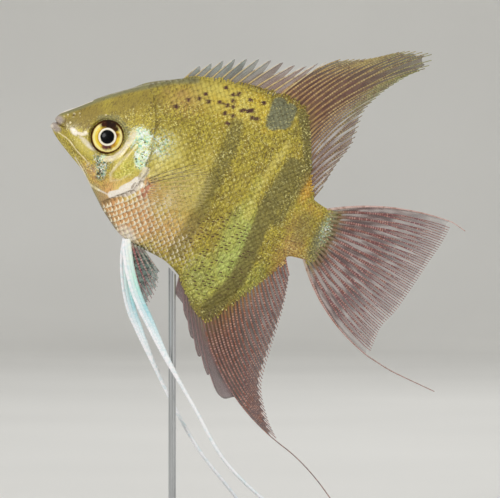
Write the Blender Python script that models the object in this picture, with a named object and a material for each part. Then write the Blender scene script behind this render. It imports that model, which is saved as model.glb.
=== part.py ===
"""Freshwater angelfish (Pterophyllum scalare), a still life-size model on a plain display stand.

Sizes are millimetres and are turned into metres where a mesh is made. The fish is drawn level:
s runs back along its body from the snout, h upwards and y to its right side, so that its left
side is at minus y. One empty then tips it head-up and lifts it on to the stand.
"""
import math

import bmesh
import bpy
from mathutils import Matrix, Vector

MM = 0.001

# Driving dimensions, in millimetres and degrees.
STANDARD_LENGTH = 85.0
PITCH = 23.2
SNOUT_HEIGHT = 128.5
GAP = 0.3
FLESH_END = STANDARD_LENGTH - 0.5
RING_POINTS = 11

# Side outline of the flesh: the back, then the belly with the scaly sheath of the anal fin.
BACK = [(0.0, 1.4), (1.2, 3.7), (5.0, 7.2), (10.7, 13.0), (17.4, 18.5), (21.2, 21.9), (27.0, 25.3),
        (33.6, 28.6), (43.9, 31.2), (53.9, 32.6), (61.0, 32.7), (66.2, 31.4), (69.3, 27.6),
        (74.0, 19.2), (77.6, 12.0), (80.2, 9.4), (85.0, 8.7)]
BELLY = [(0.0, -1.8), (3.2, -4.0), (7.8, -6.6), (13.6, -9.7), (19.4, -14.4), (25.5, -19.2),
         (33.0, -23.2), (39.0, -23.9), (45.3, -24.4), (51.0, -26.4), (57.0, -31.2), (61.8, -33.4),
         (65.5, -30.6), (69.0, -26.0), (73.3, -19.7), (77.4, -12.2), (79.8, -8.9), (85.0, -8.2)]

# Half widths of the flesh: at its thickest, on the edge of the back and on the edge of the belly.
HALF_WIDTH = [(0.0, 1.1), (2.5, 2.3), (7.0, 3.6), (12.0, 4.7), (17.0, 5.6), (24.0, 6.8), (31.0, 7.3),
              (42.0, 6.9), (54.0, 5.6), (66.0, 4.0), (76.0, 2.7), (85.0, 1.9)]
BACK_EDGE = [(0.0, 0.7), (10.0, 1.3), (24.0, 1.1), (34.0, 0.8), (70.0, 0.7), (85.0, 1.2)]
BELLY_EDGE = [(0.0, 0.7), (10.0, 1.2), (26.0, 1.3), (36.0, 1.9), (46.0, 1.3), (56.0, 0.7),
              (72.0, 0.7), (85.0, 1.2)]
FULLNESS_ABOVE = 1.75
FULLNESS_BELOW = 2.15
ROUNDNESS = 0.9

# Where the flesh is parted: along the gill opening, round the lower jaw and before the tail stalk.
GILL_LINE = [(17.5, 30.0), (22.5, 21.5), (28.0, 12.5), (30.4, 4.0), (31.7, -2.5), (30.0, -8.8),
             (25.4, -13.1), (21.5, -17.0), (16.0, -24.0)]
COVER_FRONT = [(27.5, 8.2), (24.8, 4.6), (23.6, -0.5), (22.4, -6.0), (20.2, -10.0), (21.6, -12.9)]
COVER_REACH = (40.0, -16.0, 9.0)
COVER_THICKNESS = 1.2
MIDDLE = 0.02
CUT_WIDE = 20.0
CUT_TALL = 60.0
CUT_BACK = 120.0
JAW_LINE = [(-3.0, 0.1), (0.0, 0.0), (3.8, -0.2), (5.0, -3.0), (7.0, -9.0)]
STALK_START = 79.2

EYE_CENTRE = (17.0, 2.3)
EYE_RADIUS = 5.25
EYE_DEPTH = 2.75
EYE_SET = 3.75

# Fins: thickness of the membrane, of the ray tips and of each fin's root, and their ray counts.
MEMBRANE = 0.5
MEMBRANE_SHARE = 0.6
RAY_TIP = 0.6
THINNING = 0.6
DORSAL_ROOT = (1.2, 1.3)
ANAL_ROOT = (1.2, 1.3)
CAUDAL_ROOT = 2.6
PECTORAL_ROOT = 1.1
PELVIC_ROOT = 1.2
DORSAL_RAYS = (12, 24)
ANAL_RAYS = (6, 24)
CAUDAL_RAYS = 16
PECTORAL_RAYS = 10
PELVIC_RAYS = 6
TRAIL_SHRINK = 0.55
TRAIL_TAPER = 0.85
FIN_GAP = GAP + 0.1

# Each ray fin has a base on the outline, a line of ray tips, and a bow that bends its rays, as
# (share of the way along the base, bend as a share of the ray's length). A trail is the line of
# the thread that a fin's first or last ray runs out into.
SPINE_TIPS = [(33.0, 31.9), (42.1, 38.1), (52.8, 42.3), (61.1, 44.0), (67.6, 48.7)]
DORSAL_TIPS = [(70.6, 50.2), (78.0, 53.6), (89.1, 60.8), (94.6, 62.2), (95.4, 59.6), (90.9, 53.9),
               (85.2, 45.1), (83.0, 38.5), (83.6, 29.9), (81.6, 21.0), (80.6, 14.0)]
ANAL_SPINE_TIPS = [(53.5, -31.4), (57.0, -34.2), (63.8, -42.0), (71.6, -49.6), (78.6, -54.4)]
ANAL_TIPS = [(97.4, -60.9), (91.5, -55.4), (85.6, -46.4), (85.1, -36.0), (84.0, -24.0),
             (81.8, -14.0)]
CAUDAL_TIPS = [(119.6, 19.2), (119.4, 14.6), (117.9, 6.0), (116.2, -3.2), (114.6, -11.0),
               (112.3, -18.5), (112.4, -26.7)]
SPINE_BOW = [(0.0, 0.03), (1.0, 0.03)]
DORSAL_BOW = [(0.0, 0.12), (0.55, 0.12), (1.0, 0.0)]
ANAL_SPINE_BOW = [(0.0, -0.02), (0.5, -0.03), (1.0, -0.08)]
ANAL_BOW = [(0.0, -0.20), (0.2, -0.17), (0.6, -0.10), (1.0, -0.03)]
CAUDAL_BOW = [(0.0, 0.14), (0.12, 0.10), (0.5, 0.01), (0.88, -0.09), (1.0, -0.17)]
PELVIC_BOW = [(0.0, -0.16), (1.0, 0.0)]
PECTORAL_BOW = [(0.0, 0.05), (1.0, -0.05)]
ANAL_TRAIL = [(106.5, -63.4), (113.6, -66.3), (122.0, -71.4)]
CAUDAL_TRAILS = [[(121.8, 18.8), (124.1, 18.3)], [(121.1, -28.0), (134.3, -28.5)]]
SPINE_NOTCH = 0.42
ANAL_NOTCH = 0.1

# Where each long fin starts, changes from spines to soft rays, and ends, and the share of its
# base that is left open on each side of that change.
DORSAL_BASE = (30.0, 57.5, 79.6)
DORSAL_CUT = 0.006
ANAL_BASE = (51.8, 61.6, 79.0)
ANAL_CUT = 0.008
CAUDAL_HALF_BASE = 8.2
CAUDAL_SWING = 1.6

PECTORAL_BASE = [(32.6, -4.6), (33.6, -7.2), (35.4, -9.6)]
PECTORAL_TIPS = [(44.8, 5.5), (48.9, 4.0), (51.2, 0.2), (50.8, -4.4), (46.6, -8.8)]
PECTORAL_SPLAY = 17.0
PECTORAL_AWAY = 8.2
PECTORAL_CUP = 0.9

# Tips of each pelvic fin's rays, then the long filament that its first ray grows into.
PELVIC_BASE = [(33.6, -23.9), (36.2, -24.5), (38.8, -24.6)]
PELVIC_TIPS = {"left": [(47.6, -39.6), (47.6, -33.2), (46.4, -28.0)],
               "right": [(41.6, -42.0), (44.6, -34.0), (45.0, -28.4)]}
FILAMENT = {"left": [(48.5, -40.2), (58.4, -50.0), (72.1, -60.8), (85.1, -70.7), (95.1, -75.2),
                     (104.5, -78.0), (112.5, -79.6)],
            "right": [(42.3, -42.4), (50.5, -49.6), (64.3, -61.6), (77.9, -72.0), (91.3, -79.4),
                      (98.5, -83.6)]}
FILAMENT_RADII = (0.62, 0.3)
FILAMENT_START = 0.012
FILAMENT_SPREAD = 3.25
PELVIC_OFFSET = 1.35
PELVIC_LEAN = 0.12
PELVIC_HEIGHT = -24.0

BASE_SIZE = (90.0, 58.0, 4.0)
BASE_CORNER = 8.0
BASE_EDGE = 0.8
ROD_RADIUS = 1.1
ROD_AT = 49.4
ROD_CLEARANCE = 0.7
FOOT_RADIUS = 5.0
FOOT_HEIGHT = 2.4
FOOT_EDGE = 0.8


def rise(a, b):
    return (b[1] - a[1]) / (b[0] - a[0])


def slope(points, i):
    if i == 0 or i == len(points) - 1:
        return rise(*points[:2]) if i == 0 else rise(*points[-2:])
    before = rise(points[i - 1], points[i])
    after = rise(points[i], points[i + 1])
    return 0.0 if before * after <= 0.0 else 2.0 * before * after / (before + after)


def smooth(points, x):
    """Height at x of a smooth line through the points that never overshoots them."""
    x = min(max(x, points[0][0]), points[-1][0])
    i = 0
    while i < len(points) - 2 and points[i + 1][0] < x:
        i += 1
    (x0, y0), (x1, y1) = points[i], points[i + 1]
    span = x1 - x0
    u = (x - x0) / span
    rest = 1.0 - u
    ends = y0 * (1.0 + 2.0 * u) * rest ** 2 + y1 * u ** 2 * (3.0 - 2.0 * u)
    return ends + span * (slope(points, i) * u * rest ** 2 - slope(points, i + 1) * u ** 2 * rest)


def along(points, t):
    """Point a fraction t of the way along a smooth curve through the points."""
    run = [0.0]
    for a, b in zip(points, points[1:]):
        run.append(run[-1] + math.dist(a, b))
    at = t * run[-1]
    return tuple(smooth(list(zip(run, axis)), at) for axis in zip(*points))


def offset(line, distance):
    """The line moved sideways, to the left of the way it runs."""
    moved = []
    for i, point in enumerate(line):
        before = Vector(line[max(i - 1, 0)])
        after = Vector(line[min(i + 1, len(line) - 1)])
        way = (after - before).normalized()
        moved.append((point[0] - way.y * distance, point[1] + way.x * distance))
    return moved


def half_width(s, h, top, bottom):
    """Half the thickness of the flesh at one place of its side view."""
    above = h > 0.0
    u = min(h / top if above else h / bottom, 1.0)
    edge = smooth(BACK_EDGE if above else BELLY_EDGE, s)
    power = FULLNESS_ABOVE if above else FULLNESS_BELOW
    return edge + (smooth(HALF_WIDTH, s) - edge) * (1.0 - u ** power) ** ROUNDNESS


def stations():
    """Places along the body, close at the snout and along the steep rear edges."""
    places = [0.0]
    while places[-1] < FLESH_END - 2.0:
        s = places[-1]
        places.append(s + (min(0.5 + 0.2 * s, 3.0) if s < 56.0 else 1.5))
    return places + [FLESH_END]


def ring(s, inset):
    """Points round the flesh at s: up the left side, then down the right."""
    top = smooth(BACK, s)
    bottom = smooth(BELLY, s)
    side = []
    for k in range(RING_POINTS):
        u = -math.cos(math.pi * k / (RING_POINTS - 1))
        h = u * top if u > 0.0 else -u * bottom
        side.append((max(half_width(s, h, top, bottom) - inset, 0.2), h))
    return [(s, -y, h) for y, h in side] + [(s, y, h) for y, h in reversed(side)]


def new_mesh(name, bm):
    """Mesh of a finished bmesh, with its faces outwards and its size in metres."""
    bmesh.ops.recalc_face_normals(bm, faces=bm.faces)
    if bm.calc_volume(signed=True) < 0.0:
        bmesh.ops.reverse_faces(bm, faces=bm.faces)
    bmesh.ops.scale(bm, vec=(MM, MM, MM), verts=bm.verts)
    mesh = bpy.data.meshes.new(name)
    bm.to_mesh(mesh)
    bm.free()
    return mesh


def skin_between(bm, rings):
    """Faces between rings of points, closed at both ends."""
    made = [[bm.verts.new(p) for p in points] for points in rings]
    count = len(made[0])
    for a, b in zip(made, made[1:]):
        for i in range(count):
            j = (i + 1) % count
            bm.faces.new((a[i], a[j], b[j], b[i]))
    bm.faces.new(made[0])
    bm.faces.new(made[-1])


def flesh_mesh(name, inset=0.0):
    bm = bmesh.new()
    skin_between(bm, [ring(s, inset) for s in stations()])
    return new_mesh(name, bm)


def material(name, colour, roughness, metallic=0.0):
    made = bpy.data.materials.new(name)
    made.use_nodes = True
    shader = made.node_tree.nodes["Principled BSDF"]
    shader.inputs["Base Color"].default_value = (*colour, 1.0)
    shader.inputs["Roughness"].default_value = roughness
    shader.inputs["Metallic"].default_value = metallic
    made.diffuse_color = (*colour, 1.0)
    return made


def add(name, mesh, parent, look=None):
    made = bpy.data.objects.new(name, mesh)
    bpy.context.scene.collection.objects.link(made)
    made.parent = parent
    if look:
        mesh.materials.clear()
        mesh.materials.append(look)
        mesh.shade_smooth()
        mesh.set_sharp_from_angle(angle=math.radians(40.0))
    return made


def cutter(name, mesh, parent):
    made = add(name, mesh, parent)
    made.hide_render = True
    made.display_type = "WIRE"
    return made


def boolean(target, operation, tool):
    step = target.modifiers.new(tool.name, "BOOLEAN")
    step.operation = operation
    step.solver = "EXACT"
    step.object = tool


def prism(name, outline, y0, y1, parent):
    """Cutter with the given side outline, from y0 to y1."""
    bm = bmesh.new()
    skin_between(bm, [[(s, y, h) for s, h in outline] for y in (y0, y1)])
    return cutter(name, new_mesh(name, bm), parent)


def sampled(line, count):
    """Evenly spaced points on the smooth curve through a line's points."""
    return [along(line, k / count) for k in range(count + 1)]


def flesh_cutters(fish):
    """Everything that parts the flesh, by name."""
    half_gap = GAP / 2.0
    front, rear = -CUT_WIDE, CUT_BACK
    gills = sampled(GILL_LINE, 14)
    chin = [(front, front)]
    outlines = {
        "behind_gills": offset(gills, -half_gap) + [(rear, -CUT_TALL), (rear, CUT_TALL)],
        "before_gills": offset(gills, half_gap) + [(front, -CUT_TALL), (front, CUT_TALL)],
        "jaw": offset(JAW_LINE, -half_gap) + chin,
        "jaw_space": offset(JAW_LINE, half_gap) + chin,
    }
    spans = {"stalk": (STALK_START - half_gap, rear), "body": (front, STALK_START + half_gap)}
    for name, (start, end) in spans.items():
        outlines[name] = [(start, -CUT_TALL), (end, -CUT_TALL), (end, CUT_TALL), (start, CUT_TALL)]
    cutters = {}
    for name, line in outlines.items():
        cutters[name] = prism("cut_" + name, line, -CUT_WIDE, CUT_WIDE, fish)
    return cutters


def cover_cutters(side, sign, fish):
    """The gill cover's own shape, and the slightly larger space for it in the head."""
    front = sampled(COVER_FRONT, 8)
    rear, low, high = COVER_REACH
    shapes = []
    for name, grow in (("cover", 0.0), ("cover_space", GAP)):
        outline = offset(front, -grow) + [(rear, low - grow), (rear, high + grow)]
        shape = prism(f"cut_{name}_{side}", outline, MIDDLE * sign, CUT_WIDE * sign, fish)
        core = cutter(f"cut_{name}_core_{side}", flesh_mesh("core", COVER_THICKNESS + grow), fish)
        boolean(shape, "DIFFERENCE", core)
        shapes.append(shape)
    return shapes


def eye_mesh(name, grow):
    """A flattened ball with its axis across the head."""
    bm = bmesh.new()
    turn = Matrix.Rotation(math.pi / 2.0, 4, "X")
    bmesh.ops.create_uvsphere(bm, u_segments=20, v_segments=10, radius=1.0, matrix=turn)
    size = (EYE_RADIUS + grow, EYE_DEPTH + grow, EYE_RADIUS + grow)
    bmesh.ops.scale(bm, vec=size, verts=bm.verts)
    return new_mesh(name, bm)


def build_flesh(fish):
    """Head, lower jaw, gill covers, trunk and tail stalk, parted from one body by thin cuts."""
    cuts = flesh_cutters(fish)
    golden = material("golden_head", (0.42, 0.30, 0.09), 0.4)
    tan = material("tan_lips", (0.38, 0.27, 0.12), 0.4)
    olive = material("olive_flank", (0.36, 0.28, 0.06), 0.4)
    brown = material("brown_stalk", (0.30, 0.24, 0.12), 0.4)
    head = add("head", flesh_mesh("head"), fish, golden)
    boolean(head, "DIFFERENCE", cuts["behind_gills"])
    boolean(head, "DIFFERENCE", cuts["jaw_space"])
    jaw = add("lower_jaw", flesh_mesh("lower_jaw"), fish, tan)
    boolean(jaw, "INTERSECT", cuts["jaw"])
    trunk = add("trunk", flesh_mesh("trunk"), fish, olive)
    boolean(trunk, "DIFFERENCE", cuts["before_gills"])
    boolean(trunk, "DIFFERENCE", cuts["stalk"])
    stalk = add("tail_stalk", flesh_mesh("tail_stalk"), fish, brown)
    boolean(stalk, "DIFFERENCE", cuts["body"])
    for side, sign in (("left", -1.0), ("right", 1.0)):
        shape, space = cover_cutters(side, sign, fish)
        gold = material("gold_gill_cover_" + side, (0.55, 0.42, 0.18), 0.3, 0.3)
        cover = add("gill_cover_" + side, flesh_mesh("gill_cover_" + side), fish, gold)
        boolean(cover, "INTERSECT", shape)
        boolean(cover, "DIFFERENCE", cuts["behind_gills"])
        boolean(head, "DIFFERENCE", space)
        build_eye(side, sign, head, fish)


def build_eye(side, sign, head, fish):
    place = Vector((EYE_CENTRE[0], sign * EYE_SET, EYE_CENTRE[1])) * MM
    socket = cutter("cut_socket_" + side, eye_mesh("socket", GAP), fish)
    socket.location = place
    boolean(head, "DIFFERENCE", socket)
    yellow = material("yellow_eye_" + side, (0.75, 0.62, 0.25), 0.1)
    eye = add("eye_" + side, eye_mesh("eye_" + side, 0.0), fish, yellow)
    eye.location = place


def edge_path(edge, start, end, clearance):
    """Points along an edge of the flesh, moved off it by the clearance."""
    steps = 40
    points = []
    for k in range(steps + 1):
        s = start + (end - start) * k / steps
        points.append((s, smooth(edge, s)))
    return offset(points, clearance)


def fin_sheets(base, tips, rays, rows, bow, base_thickness, spike=0.0, side=None):
    """Two sheets of points for a fin: thick along each ray and thin on the membrane between."""
    columns = 2 * rays - 1
    front = []
    back = []
    for c in range(columns):
        t = c / (columns - 1)
        on_ray = c % 2 == 0
        root = Vector(base(t))
        tip = Vector(along(tips, t))
        if not on_ray:
            tip = tip.lerp(root, spike)
        reach = tip - root
        bend = root + reach * 0.5 + Vector((-reach.y, reach.x)) * smooth(bow, t)
        for r in range(rows + 1):
            v = r / rows
            place = root * (1.0 - v) ** 2 + bend * 2.0 * v * (1.0 - v) + tip * v ** 2
            thick = base_thickness + (RAY_TIP - base_thickness) * v ** THINNING
            half = (thick if on_ray else max(thick * MEMBRANE_SHARE, MEMBRANE)) / 2.0
            middle = side(place, v) if side else 0.0
            front.append((place.x, middle - half, place.y))
            back.append((place.x, middle + half, place.y))
    return columns, front, back


def draw_out(bm, end, line, middle):
    """Grows a fin's end face along a line of points into a thread."""
    corners = list(end.verts)
    bm.faces.remove(end)
    last = corners
    for k, place in enumerate(line):
        centre_now = sum((v.co for v in last), Vector()) / 4.0
        shrink = TRAIL_SHRINK if k == 0 else TRAIL_TAPER
        goal = Vector((place[0], middle, place[1]))
        fresh = [bm.verts.new(goal + (v.co - centre_now) * shrink) for v in last]
        for i in range(4):
            j = (i + 1) % 4
            bm.faces.new((last[i], last[j], fresh[j], fresh[i]))
        last = fresh
    bm.faces.new(last)


def fin_mesh(name, rows, columns, front, back, trails):
    """Closed plate between the two sheets of points."""
    bm = bmesh.new()
    sheets = [[bm.verts.new(p) for p in sheet] for sheet in (front, back)]
    row = rows + 1
    for c in range(columns - 1):
        for r in range(rows):
            for sheet in sheets:
                a = c * row + r
                bm.faces.new((sheet[a], sheet[a + row], sheet[a + row + 1], sheet[a + 1]))
    bm.faces.ensure_lookup_table()
    rim = [c * row for c in range(columns)]
    rim += [(columns - 1) * row + r for r in range(1, row)]
    rim += [c * row + rows for c in range(columns - 2, -1, -1)]
    rim += [r for r in range(rows - 1, 0, -1)]
    ends = {}
    for a, b in zip(rim, rim[1:] + rim[:1]):
        face = bm.faces.new((sheets[0][a], sheets[1][a], sheets[1][b], sheets[0][b]))
        ends[frozenset((a, b))] = face
    for first, line in trails:
        pair = frozenset((first * row + rows, (first + 1) * row + rows))
        middle = (front[first * row + rows][1] + back[first * row + rows][1]) / 2.0
        draw_out(bm, ends[pair], line, middle)
    return new_mesh(name, bm)


def add_fin(name, base, tips, rays, rows, bow, base_thickness, look, fish, **extra):
    trails = extra.pop("trails", [])
    columns, front, back = fin_sheets(base, tips, rays, rows, bow, base_thickness, **extra)
    return add(name, fin_mesh(name, rows, columns, front, back, trails), fish, look)


def edge_share(path, s):
    """How far along the path it reaches s, as a fraction of its length."""
    total = 0.0
    reached = 0.0
    for a, b in zip(path, path[1:]):
        total += math.dist(a, b)
        if b[0] <= s:
            reached = total
    return reached / total


def two_bases(edge, places, clearance, cut):
    """Base lines of a long fin's spiny part and of its soft part, each read from 0 to 1."""
    start, join, end = places
    path = edge_path(edge, start, end, clearance)
    share = edge_share(path, join)

    def spiny(t):
        return along(path, t * (share - cut))

    def soft(t):
        return along(path, share + cut + t * (1.0 - share - cut))

    return spiny, soft


def build_dorsal_fin(fish):
    """Twelve spines with notched membranes, then the swept soft lobe."""
    spiny, soft = two_bases(BACK, DORSAL_BASE, FIN_GAP, DORSAL_CUT)
    teal = material("teal_dorsal_spines", (0.36, 0.40, 0.36), 0.35)
    rose = material("rose_dorsal", (0.30, 0.17, 0.13), 0.35)
    add_fin("dorsal_fin_spiny", spiny, SPINE_TIPS, DORSAL_RAYS[0], 2, SPINE_BOW, DORSAL_ROOT[0],
            teal, fish, spike=SPINE_NOTCH)
    add_fin("dorsal_fin_soft", soft, DORSAL_TIPS, DORSAL_RAYS[1], 4, DORSAL_BOW, DORSAL_ROOT[1],
            rose, fish)


def build_anal_fin(fish):
    """Six spines along the front edge, then the soft lobe that runs out into a filament."""
    spiny, soft = two_bases(BELLY, ANAL_BASE, -FIN_GAP, ANAL_CUT)
    mauve = material("mauve_anal_spines", (0.27, 0.19, 0.18), 0.35)
    maroon = material("maroon_anal", (0.25, 0.12, 0.10), 0.35)
    add_fin("anal_fin_spiny", spiny, ANAL_SPINE_TIPS, ANAL_RAYS[0], 4, ANAL_SPINE_BOW, ANAL_ROOT[0],
            mauve, fish, spike=ANAL_NOTCH)
    add_fin("anal_fin_soft", soft, ANAL_TIPS, ANAL_RAYS[1], 5, ANAL_BOW, ANAL_ROOT[1],
            maroon, fish, trails=[(0, ANAL_TRAIL)])


def build_caudal_fin(fish):
    """Sixteen rays in a fan, swung a little to the left, with a filament at each corner."""
    top = Vector((FLESH_END + GAP, CAUDAL_HALF_BASE))
    bottom = Vector((FLESH_END + GAP, -CAUDAL_HALF_BASE))
    plum = material("plum_caudal", (0.30, 0.15, 0.15), 0.35)
    last_pair = 2 * CAUDAL_RAYS - 3
    trails = [(0, CAUDAL_TRAILS[0]), (last_pair, CAUDAL_TRAILS[1])]

    def swing(place, v):
        return -CAUDAL_SWING * v ** 2

    add_fin("caudal_fin", lambda t: top.lerp(bottom, t), CAUDAL_TIPS, CAUDAL_RAYS, 5, CAUDAL_BOW,
            CAUDAL_ROOT, plum, fish, side=swing, trails=trails)


def build_pectoral_fins(fish):
    """Clear paddles that stand a little off the flank, just behind the gill opening."""
    slant = math.tan(math.radians(PECTORAL_SPLAY))
    for side, sign in (("left", -1.0), ("right", 1.0)):
        clear = material("clear_pectoral_" + side, (0.55, 0.50, 0.38), 0.25)

        def stand_off(place, v, sign=sign):
            away = PECTORAL_AWAY + (place.x - PECTORAL_BASE[0][0]) * slant
            return sign * (away + PECTORAL_CUP * math.sin(math.pi * v))

        add_fin("pectoral_fin_" + side, lambda t: along(PECTORAL_BASE, t), PECTORAL_TIPS,
                PECTORAL_RAYS, 4, PECTORAL_BOW, PECTORAL_ROOT, clear, fish, side=stand_off)


def pelvic_side(h):
    """Distance of a pelvic fin from the middle of the body at a height: it leans outwards."""
    return PELVIC_OFFSET + PELVIC_LEAN * max(PELVIC_HEIGHT - h, 0.0)


def build_pelvic_fins(fish):
    """The two pelvic fins, each with its first ray drawn out into a long filament."""
    for side, sign in (("left", -1.0), ("right", 1.0)):
        mint = material("mint_pelvic_" + side, (0.55, 0.62, 0.60), 0.35)
        pale = material("pale_filament_" + side, (0.78, 0.82, 0.85), 0.35)

        def stand_off(place, v, sign=sign):
            return sign * pelvic_side(place.y)

        add_fin("pelvic_fin_" + side, lambda t: along(PELVIC_BASE, t), PELVIC_TIPS[side],
                PELVIC_RAYS, 5, PELVIC_BOW, PELVIC_ROOT, mint, fish, side=stand_off)
        add_filament("pelvic_filament_" + side, FILAMENT[side], sign, pale, fish)


def add_filament(name, line, sign, look, fish):
    """A round thread along a smooth line, thinner to its end and leaning outwards."""
    sides = 8
    steps = 18
    near = 0.02
    thick, thin = FILAMENT_RADII
    rings = []
    for k in range(steps + 1):
        t = k / steps
        at = FILAMENT_START + (1.0 - FILAMENT_START) * t
        s, h = along(line, at)
        ahead = Vector(along(line, min(at + near, 1.0)))
        way = (ahead - Vector(along(line, max(at - near, 0.0)))).normalized()
        y = sign * (pelvic_side(line[0][1]) + FILAMENT_SPREAD * t)
        radius = thick + (thin - thick) * t ** 0.8
        points = []
        for i in range(sides):
            a = 2.0 * math.pi * i / sides
            points.append((s - way.y * radius * math.cos(a), y + radius * math.sin(a),
                           h + way.x * radius * math.cos(a)))
        rings.append(points)
    bm = bmesh.new()
    skin_between(bm, rings)
    add(name, new_mesh(name, bm), fish, look)


def belly_height(s):
    """Height above the floor of the belly's edge at s, with the fish tipped."""
    tilt = math.radians(PITCH)
    return SNOUT_HEIGHT + smooth(BELLY, s) * math.cos(tilt) - s * math.sin(tilt)


def belly_forward(s):
    """Distance of the belly's edge behind the snout at s, with the fish tipped."""
    tilt = math.radians(PITCH)
    return s * math.cos(tilt) + smooth(BELLY, s) * math.sin(tilt)


def build_rod(holder):
    """A thin rod on a round foot, cut slanting at its top to fit under the belly."""
    fore = ROD_AT - 2.0 * ROD_RADIUS
    aft = ROD_AT + 2.0 * ROD_RADIUS
    slant = (belly_height(aft) - belly_height(fore)) / (belly_forward(aft) - belly_forward(fore))
    low = BASE_SIZE[2] + GAP
    high = low + FOOT_HEIGHT
    profile = [(FOOT_RADIUS, low), (FOOT_RADIUS, high - FOOT_EDGE),
               (FOOT_RADIUS - FOOT_EDGE, high), (ROD_RADIUS, high)]
    top = belly_height(ROD_AT) - ROD_CLEARANCE
    sides = 20
    rings = []
    for radius, z in profile + [(ROD_RADIUS, top)]:
        lean = slant if z == top else 0.0
        points = []
        for i in range(sides):
            a = 2.0 * math.pi * i / sides
            x = radius * math.cos(a)
            points.append((x, radius * math.sin(a), z + lean * x))
        rings.append(points)
    bm = bmesh.new()
    skin_between(bm, rings)
    steel = material("steel_rod", (0.6, 0.61, 0.63), 0.25, 1.0)
    rod = add("stand_rod", new_mesh("stand_rod", bm), holder, steel)
    rod.location.x = belly_forward(ROD_AT) * MM


def build_base():
    """A flat plate with round corners and a softened top edge."""
    bm = bmesh.new()
    bmesh.ops.create_cube(bm, size=1.0)
    bmesh.ops.scale(bm, vec=BASE_SIZE, verts=bm.verts)
    bmesh.ops.translate(bm, vec=(0.0, 0.0, BASE_SIZE[2] / 2.0), verts=bm.verts)
    upright = [e for e in bm.edges if abs(e.verts[0].co.z - e.verts[1].co.z) > 1.0]
    bmesh.ops.bevel(bm, geom=upright, offset=BASE_CORNER, segments=5, profile=0.5, affect="EDGES")
    rim = [e for e in bm.edges if min(v.co.z for v in e.verts) > BASE_SIZE[2] - 0.01]
    bmesh.ops.bevel(bm, geom=rim, offset=BASE_EDGE, segments=2, profile=0.5, affect="EDGES")
    black = material("dark_base", (0.03, 0.03, 0.035), 0.4)
    return add("stand_base", new_mesh("stand_base", bm), None, black)


def centre(holder):
    """Moves the fish and its rod so that the whole length is centred on the origin."""
    bpy.context.view_layer.update()
    shown = bpy.context.evaluated_depsgraph_get()
    ends = []
    for item in bpy.context.scene.objects:
        if item.type == "MESH" and item.parent and not item.hide_render:
            solid = item.evaluated_get(shown)
            ends += [(solid.matrix_world @ v.co).x for v in solid.data.vertices]
    holder.location.x = -(min(ends) + max(ends)) / 2.0


def main():
    for item in list(bpy.data.objects):
        bpy.data.objects.remove(item, do_unlink=True)
    holder = bpy.data.objects.new("holder", None)
    fish = bpy.data.objects.new("fish", None)
    for empty in (holder, fish):
        bpy.context.scene.collection.objects.link(empty)
    fish.parent = holder
    fish.location.z = SNOUT_HEIGHT * MM
    fish.rotation_euler.y = math.radians(PITCH)
    build_flesh(fish)
    build_dorsal_fin(fish)
    build_anal_fin(fish)
    build_caudal_fin(fish)
    build_pectoral_fins(fish)
    build_pelvic_fins(fish)
    build_rod(holder)
    build_base()
    centre(holder)


main()
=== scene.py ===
# Freshwater angelfish (Pterophyllum scalare): skin, scales, fins, eyes and stand finishes
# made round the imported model, which holds the sizes.
import math

import bmesh
import bpy
import numpy as np
from mathutils import Matrix, Vector


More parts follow.
